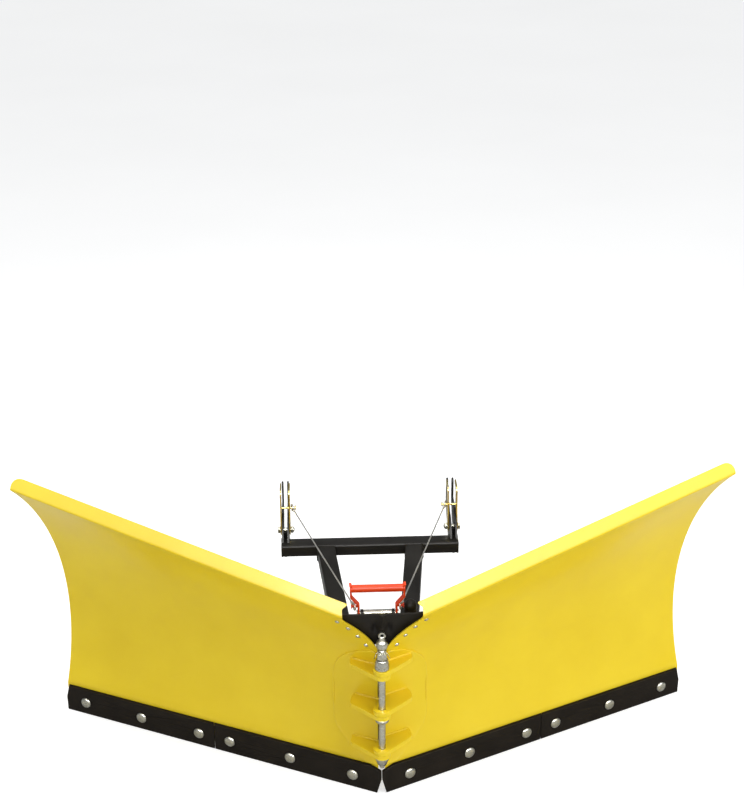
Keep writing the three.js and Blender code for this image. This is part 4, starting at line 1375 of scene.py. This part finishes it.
bm = bmesh.new()
square_tube(bm, at(-HEAD["half"], 200, 182.5), at(HEAD["half"], 200, 182.5), Vector((0, 1, 0)),
            Vector((0, 0, 1)), (HEAD["back"] - HEAD["front"], HEAD["top"] - HEAD["bottom"]),
            HEAD["wall"], 5)
cheek = [*arc(TRIP["y"], TRIP["z"], 18, 90, 270, 16), (150, 84), (186, 150), (186, 204),
         *curve((180, 168), (168, 134), (152, 124), 6)]
ear = [(176, 213), (208, 213), *curve((205, 232), (201, 262), (198, 300), 6),
       *arc(190, 313, 8, 0, 180, 12), *curve((182, 300), (180, 258), (176, 213), 6)[:-1]]
for k in (1, -1):
    plate(bm, side_on(k), cheek, CHEEK["inner"], CHEEK["inner"] + CHEEK["thick"],
          [circle(TRIP["y"], TRIP["z"], TRIP["pin"] + 0.3)])
    plate(bm, side_on(k), ear, EAR["x"], EAR["x"] + EAR["thick"],
          [circle(LIFT["y"], LIFT["z"], LIFT["radius"] * 0.72 + 0.3, 24)])
    for x in (CHEEK["inner"] - 0.4, CHEEK["inner"] + CHEEK["thick"] + 0.4):
        bead(bm, [at(k * x, 184.4, 152), at(k * x, 184.4, 202)], 2.4)
    for x in (EAR["x"] - 0.4, EAR["x"] + EAR["thick"] + 0.4):
        bead(bm, [at(k * x, 178, 215.6), at(k * x, 206, 215.6)], 2.2)
bar(bm, crosswise(*SPRING["rear"]), 5, -EAR["x"] - 2, EAR["x"] + 2)
piece("frame_head", bm, "push_frame", "black_coat", ["front_head"], bevel=0.7)
print("front head")

# %% [markdown]
# The hoist hook pulls on the lift bar, the blade tips about the pivot pin, and the rubber
# buffer keeps the raised blade off the vehicle. All three are turned parts.

# %% Lift bar, pivot pin and buffer
bm = bmesh.new()
spindle = LIFT["radius"] * 0.72
bar(bm, crosswise(LIFT["y"], LIFT["z"]), LIFT["radius"], -28.7, 28.7, 0.6)
bar(bm, crosswise(LIFT["y"], LIFT["z"]), spindle, -42.6, 42.6, 0.5)
for k in (1, -1):
    washer(bm, crosswise(LIFT["y"], LIFT["z"], k), spindle - 0.1, 7, 41.1, 42.6, 28)
piece("hoist_bar", bm, "push_frame", "zinc", ["lift_bar"])
bm = bmesh.new()
reach = CHEEK["inner"] + CHEEK["thick"]
bar(bm, crosswise(TRIP["y"], TRIP["z"]), TRIP["pin"], -reach - 8, reach + 1, 1)
thread(bm, crosswise(TRIP["y"], TRIP["z"], -1), TRIP["pin"] + 0.05, reach + 5, reach + 8, 1.5, 0.7)
turned(bm, crosswise(TRIP["y"], TRIP["z"]), [(10, reach + 0.4), (12, reach + 0.8),
                                             (12, reach + 4.6), (10, reach + 5.9)], 36)
nut(bm, crosswise(TRIP["y"], TRIP["z"], -1), 11, TRIP["pin"], reach + 0.4, reach + 6)
piece("pivot_pin", bm, "push_frame", "zinc", ["trip_pin"])

BUFFER = {"x": 68, "y": 203, "radius": 13.5, "crown": 334, "post": 8}
bm = bmesh.new()
radius, shoulder = BUFFER["radius"], BUFFER["crown"] - BUFFER["radius"]
dome = [(radius * cos(radians(a)), shoulder + radius * sin(radians(a)))
        for a in (0, 12, 24, 36, 48, 60, 72, 82, 88)]
turned(bm, upright(BUFFER["x"], BUFFER["y"]),
       [(7, HEAD["top"] + 0.4), (BUFFER["post"], HEAD["top"] + 1.2),
        (BUFFER["post"], shoulder - 24), (9, shoulder - 22), (12.8, shoulder - 16.5),
        (13.5, shoulder - 15), (13.5, shoulder - 9), (12.9, shoulder - 8),
        (12.9, shoulder - 6.4), (13.5, shoulder - 5.4), *dome], 40)
piece("buffer_dome", bm, "push_frame", "rubber", ["lift_buffer"])
print("lift bar, pivot pin and buffer")

# %% [markdown]
# ## Quick-release hooks
# Two uprights hold the vehicle's cross bar in open seats, and a pair of hooks swings over
# each bar to lock it. The uprights are black plates in pairs, the hooks are yellow-plated
# and turn on a bolt, and the release wire pulls on a cross pin near their middle.

# %% Uprights
PITCH = 6.35
PLATE = 4
PIVOT = (640, 261)
ARM = (655, 311)
HOOK_START = PITCH + PLATE / 2 + 0.3
tube_back = TUBE["y"] + TUBE["deep"] / 2 + 0.3
tube_top = TUBE["z"] + TUBE["high"] / 2 + 0.3
seat = [(598, tube_top), (612, 276), *curve((620, 284), (630, 290), (642, 291), 5), (652, 291),
        *curve((664, 298), (672, 308), (674, 304), 5), (680, 300), (702, 300),
        *curve((708, 304), (709, 326), (711, 345), 4), *arc(713.6, 344.6, 2.4, 170, 90, 3),
        *arc(721, 345, 2, 90, 20, 3), (730, 336), *curve((730, 288), (716, 270), (704, 252), 5),
        (664, 226), (tube_back, 222), (tube_back, tube_top)]


def bar_upright(side):
    k = SIDES[side]
    bm = bmesh.new()
    for middle in (LATCH_X + PITCH, LATCH_X - PITCH):
        plate(bm, side_on(k), seat, middle - PLATE / 2, middle + PLATE / 2, [circle(*PIVOT, 5.3)])
        for x in (middle - PLATE / 2 - 0.3, middle + PLATE / 2 + 0.3):
            bead(bm, [at(k * x, 600, tube_top + 0.4), at(k * x, tube_back, tube_top + 0.4)], 1.7)
    plate(bm, side_on(k), [(tube_back + 1, 232), (tube_back + 9, 232), (tube_back + 9, 262),
                           (tube_back + 1, 262)], LATCH_X - 7, LATCH_X + 7)
    piece(f"{side}_bar_upright", bm, "push_frame", "black_coat", [f"{side}_upright"], bevel=0.5)


# %% Hooks and their bolts
beak = [(628, 261), (643, 306), (646, 346), *curve((646, 350), (650, 358), (656, 358), 4),
        (684, 358), *curve((690, 358), (692, 350), (690, 348), 3), (674, 346),
        *curve((668, 344), (668, 340), (668, 334), 4), (666, 300), (652, 261),
        *arc(*PIVOT, 12, 0, -180, 16)[1:-1]]


def release_hook(side):
    """Two plates on one cross pin, with a small spring clip round the pin's outer end."""
    k = SIDES[side]
    bm = bmesh.new()
    for low in (LATCH_X + HOOK_START, LATCH_X - HOOK_START - 3):
        plate(bm, side_on(k), beak, low, low + 3, [circle(*PIVOT, 5.4)])
    pin_place = crosswise(*ARM, k)
    bar(bm, pin_place, 2.5, 171, LATCH_X + HOOK_START + 2.9, 0.4, 20)
    washer(bm, pin_place, 2.4, 5, 170.6, 173.4, 24)
    washer(bm, pin_place, 2.4, 4.6, 186, 187.2, 24)
    piece(f"{side}_hook_plates", bm, f"{side}_hook", "gold_zinc", [f"{side}_release_hook"],
          bevel=0.45)


def pivot_bolt(side):
    k = SIDES[side]
    place = crosswise(*PIVOT, k, LATCH_X)
    bm = bmesh.new()
    bar(bm, place, 5, -18, 14, 0.5, 28)
    nut(bm, place, 9, 4.9, 12.3, 17.9)
    nut(bm, place, 9, 4.9, -18, -12.3)
    cap = [(6 * cos(radians(a)), -18 - 3 * sin(radians(a))) for a in (86, 70, 50, 30, 10, 0)]
    turned(bm, place, [*cap, (6, -17.2)], 28)
    piece(f"{side}_pivot_bolt", bm, "push_frame", "zinc", [f"{side}_hook_bolt"])


for side in SIDES:
    bar_upright(side)
    release_hook(side)
    pivot_bolt(side)
print("uprights, hooks and pivot bolts")

# %% [markdown]
# ## Release handle
# One pull on the red handle opens both hooks. Two bent straps turn on the lift bar's ends,
# a round grip joins them, and each strap has a small arm with a stud for its wire.

# %% Handle
HANDLE = {"foot": 38.5, "wide": 54, "strap": 4, "width": 14, "grip": 58, "top": 68}
STUD = {"arm": 14, "lean": radians(22.5), "radius": 2.5}
WIRE = {"radius": 1.5, "eye": 7.5, "front": 47.5, "rear": 179.5}
stud_y = LIFT["y"] + STUD["arm"] * sin(STUD["lean"])
stud_z = LIFT["z"] + STUD["arm"] * cos(STUD["lean"])


def strap_line(offset):
    """The bent strap seen from the front, on one side of its middle line."""
    foot, wide = HANDLE["foot"] + offset, HANDLE["wide"] + offset
    return [(foot, -8), (foot, 14), *curve((foot, 17), (foot, 21), (foot + 2.4, 23.4), 4),
            *curve((wide - 2.4, 36.6), (wide, 39), (wide, 43), 4), (wide, 60),
            *curve((wide, 64), (wide, 67), (wide + 1.6, 68), 3)]


bm = bmesh.new()
half = HANDLE["width"] / 2
for k in (1, -1):
    line = strap_line(-HANDLE["strap"] / 2) + strap_line(HANDLE["strap"] / 2)[::-1]
    plate(bm, lambda x, z, y: at(k * x, LIFT["y"] + y, LIFT["z"] + z), line, -half, half)
    tab = [(LIFT["y"] - half, LIFT["z"]), *arc(LIFT["y"], LIFT["z"], half + 1.6, 200, 340, 8),
           (LIFT["y"] + half + 1, LIFT["z"]), *arc(stud_y, stud_z, 6, 0, 120, 8)]
    plate(bm, side_on(k), tab, HANDLE["foot"] - 2, HANDLE["foot"] + 2,
          [circle(LIFT["y"], LIFT["z"], spindle + 0.4, 24)])
    bar(bm, crosswise(stud_y, stud_z, k), STUD["radius"], HANDLE["foot"], WIRE["front"] + 6.8,
        0.4, 20)
    washer(bm, crosswise(stud_y, stud_z, k), 2.3, 5, WIRE["front"] + 5, WIRE["front"] + 6.6, 24)
    ear_z = LIFT["z"] + HANDLE["grip"]
    bored(bm, crosswise(LIFT["y"], ear_z, k), [
        (4.9, HANDLE["wide"] - 2.2), (8.4, HANDLE["wide"] - 2.2), (9, HANDLE["wide"] - 1.6),
        (9, HANDLE["wide"] + 1.4), (8.4, HANDLE["wide"] + 2), (4.9, HANDLE["wide"] + 2)], 32)
    bar(bm, crosswise(LIFT["y"], ear_z, k), 5, HANDLE["wide"] - 4, HANDLE["wide"] + 1.8, 0.5, 24)
piece("handle_frame", bm, "handle", "red_coat", ["handle_straps"], bevel=0.5)

bm = bmesh.new()
reach = HANDLE["wide"] - HANDLE["strap"] / 2 - 0.3
bored(bm, crosswise(LIFT["y"], LIFT["z"] + HANDLE["grip"]), [
    (5.3, -reach), (7.2, -reach), (8, 0.8 - reach), (8, reach - 0.8), (7.2, reach),
    (5.3, reach)], 40)
piece("grip_tube", bm, "handle", "red_coat", ["handle_grip"])
print("handle frame and grip")

# %% [markdown]
# ## Release wires
# Each wire is six strands laid round a core, with a loop at both ends closed by a pressed
# sleeve. The wires are held tight by the handle's spring, so they run straight. The strands
# are real sweeps along a slow helix, which catches the light as no flat texture would.


# %% Wires
def release_wire(side):
    k = SIDES[side]
    front = at(k * WIRE["front"], stud_y, stud_z)
    rear = at(k * WIRE["rear"], *ARM)
    along = (rear - front).normalized()
    across = along.cross(Vector((1, 0, 0))).normalized()
    radius = WIRE["radius"]
    bm = bmesh.new()
    run = (rear - front).length / MM - 2 * WIRE["eye"] + 2
    start = front + along * (WIRE["eye"] - 1) * MM
    side_a = along.orthogonal().normalized()
    side_b = along.cross(side_a)
    steps = round(run / 1.9)
    for strand in range(6):
        path = []
        for i in range(steps + 1):
            a = 2 * pi * (strand / 6 + i / steps * run / 22)
            middle = start + along * run * MM * i / steps
            path.append(middle + (side_a * cos(a) + side_b * sin(a)) * radius * 0.66 * MM)
        sweep(bm, path, radius * 0.36, 5)
    for centre, way in ((front, 1), (rear, -1)):
        ring = []
        for i in range(29):
            a = 2 * pi * i / 28
            pinch = WIRE["eye"] * (1 - 0.12 * (0.5 + 0.5 * cos(a)) ** 3)
            ring.append(centre + (along * way * cos(a) * WIRE["eye"]
                                  + across * sin(a) * pinch) * MM)
        sweep(bm, ring[:-1], radius * 0.98, 10, True)
        sleeve = centre + along * way * (WIRE["eye"] + 1.5) * MM
        sweep(bm, [sleeve + along * way * d * MM for d in (0, 0.5, 4.5, 8.5, 9)],
              lambda i: 2.5 if i in (0, 4) else 2.9, 14)
    piece(f"{side}_pull_wire", bm, f"{side}_wire", "wire_rope", [f"{side}_release_wire"])


for side in SIDES:
    release_wire(side)
print("two release wires")

# %% [markdown]
# ## Studio
# The plow stands on a plain pale floor under soft boxes: a large one high on the right, a
# weaker one on the left and a long one overhead. A strip in front is seen only as a
# reflection, along the folded lips. The world is a pale grey that fills the shadows, and
# the floor glows a little to the eye alone, so that both look white behind the plow.

# %% Floor and lights
bm = bmesh.new()
size = 14
corners = [bm.verts.new((x * size, y * size, -0.0005)) for x, y in
           ((-1, -1), (1, -1), (1, 1), (-1, 1))]
bm.faces.new(corners)
data = bpy.data.meshes.new("studio_floor")
bm.to_mesh(data)
bm.free()
floor = bpy.data.objects.new("studio_floor", data)
bpy.context.collection.objects.link(floor)
tree, shader, material = new_finish("studio_floor", Roughness=0.7, Specular_IOR_Level=0.2)
shader.inputs["Emission Color"].default_value = (1, 1, 1, 1)
seen = add_node(tree, "LightPath").outputs["Is Camera Ray"]
tree.links.new(ranged(tree, seen, 0.0, 0.62), shader.inputs["Emission Strength"])
texture = use(tree, grain, Grain_Scale=60.0, Blotch_Scale=0.6)
tree.links.new(blend_colour(tree, texture["Blotches"], (0.62, 0.62, 0.615), (0.67, 0.67, 0.665)),
               shader.inputs["Base Color"])
data.materials.append(material)


def soft_box(name, place, aim, size, power):
    light = bpy.data.objects.new(name, bpy.data.lights.new(name, "AREA"))
    light.data.shape = "RECTANGLE"
    light.data.size, light.data.size_y = size
    light.data.energy = power
    light.location = place
    light.rotation_mode = "QUATERNION"
    light.rotation_quaternion = (Vector(aim) - Vector(place)).to_track_quat("-Z", "Y")
    bpy.context.collection.objects.link(light)
    return light


soft_box("key", (2.7, -2.5, 2.3), (0.0, -0.1, 0.2), (1.8, 1.8), 72)
soft_box("fill", (-2.8, -2.3, 2.2), (0.0, -0.1, 0.25), (1.8, 1.8), 27)
soft_box("top", (0.0, -0.1, 3.0), (0.0, -0.1, 0.2), (3.2, 1.6), 66)
strip = soft_box("lip strip", (0.0, -2.6, 2.0), (0.0, -0.1, 0.45), (3.2, 0.5), 250)
strip.visible_diffuse = False
world = bpy.data.worlds.new("studio")
world.use_nodes = True
bpy.context.scene.world = world
paths = add_node(world.node_tree, "LightPath").outputs["Is Camera Ray"]
backdrop = world.node_tree.nodes["Background"]
backdrop.inputs["Color"].default_value = (0.95, 0.975, 1.0, 1)
strength = add_node(world.node_tree, "MapRange", {"Value": paths, "To Min": 0.4, "To Max": 1.1})
world.node_tree.links.new(strength.outputs["Result"], backdrop.inputs["Strength"])
bpy.context.scene.view_settings.view_transform = "Standard"
print("studio ready")
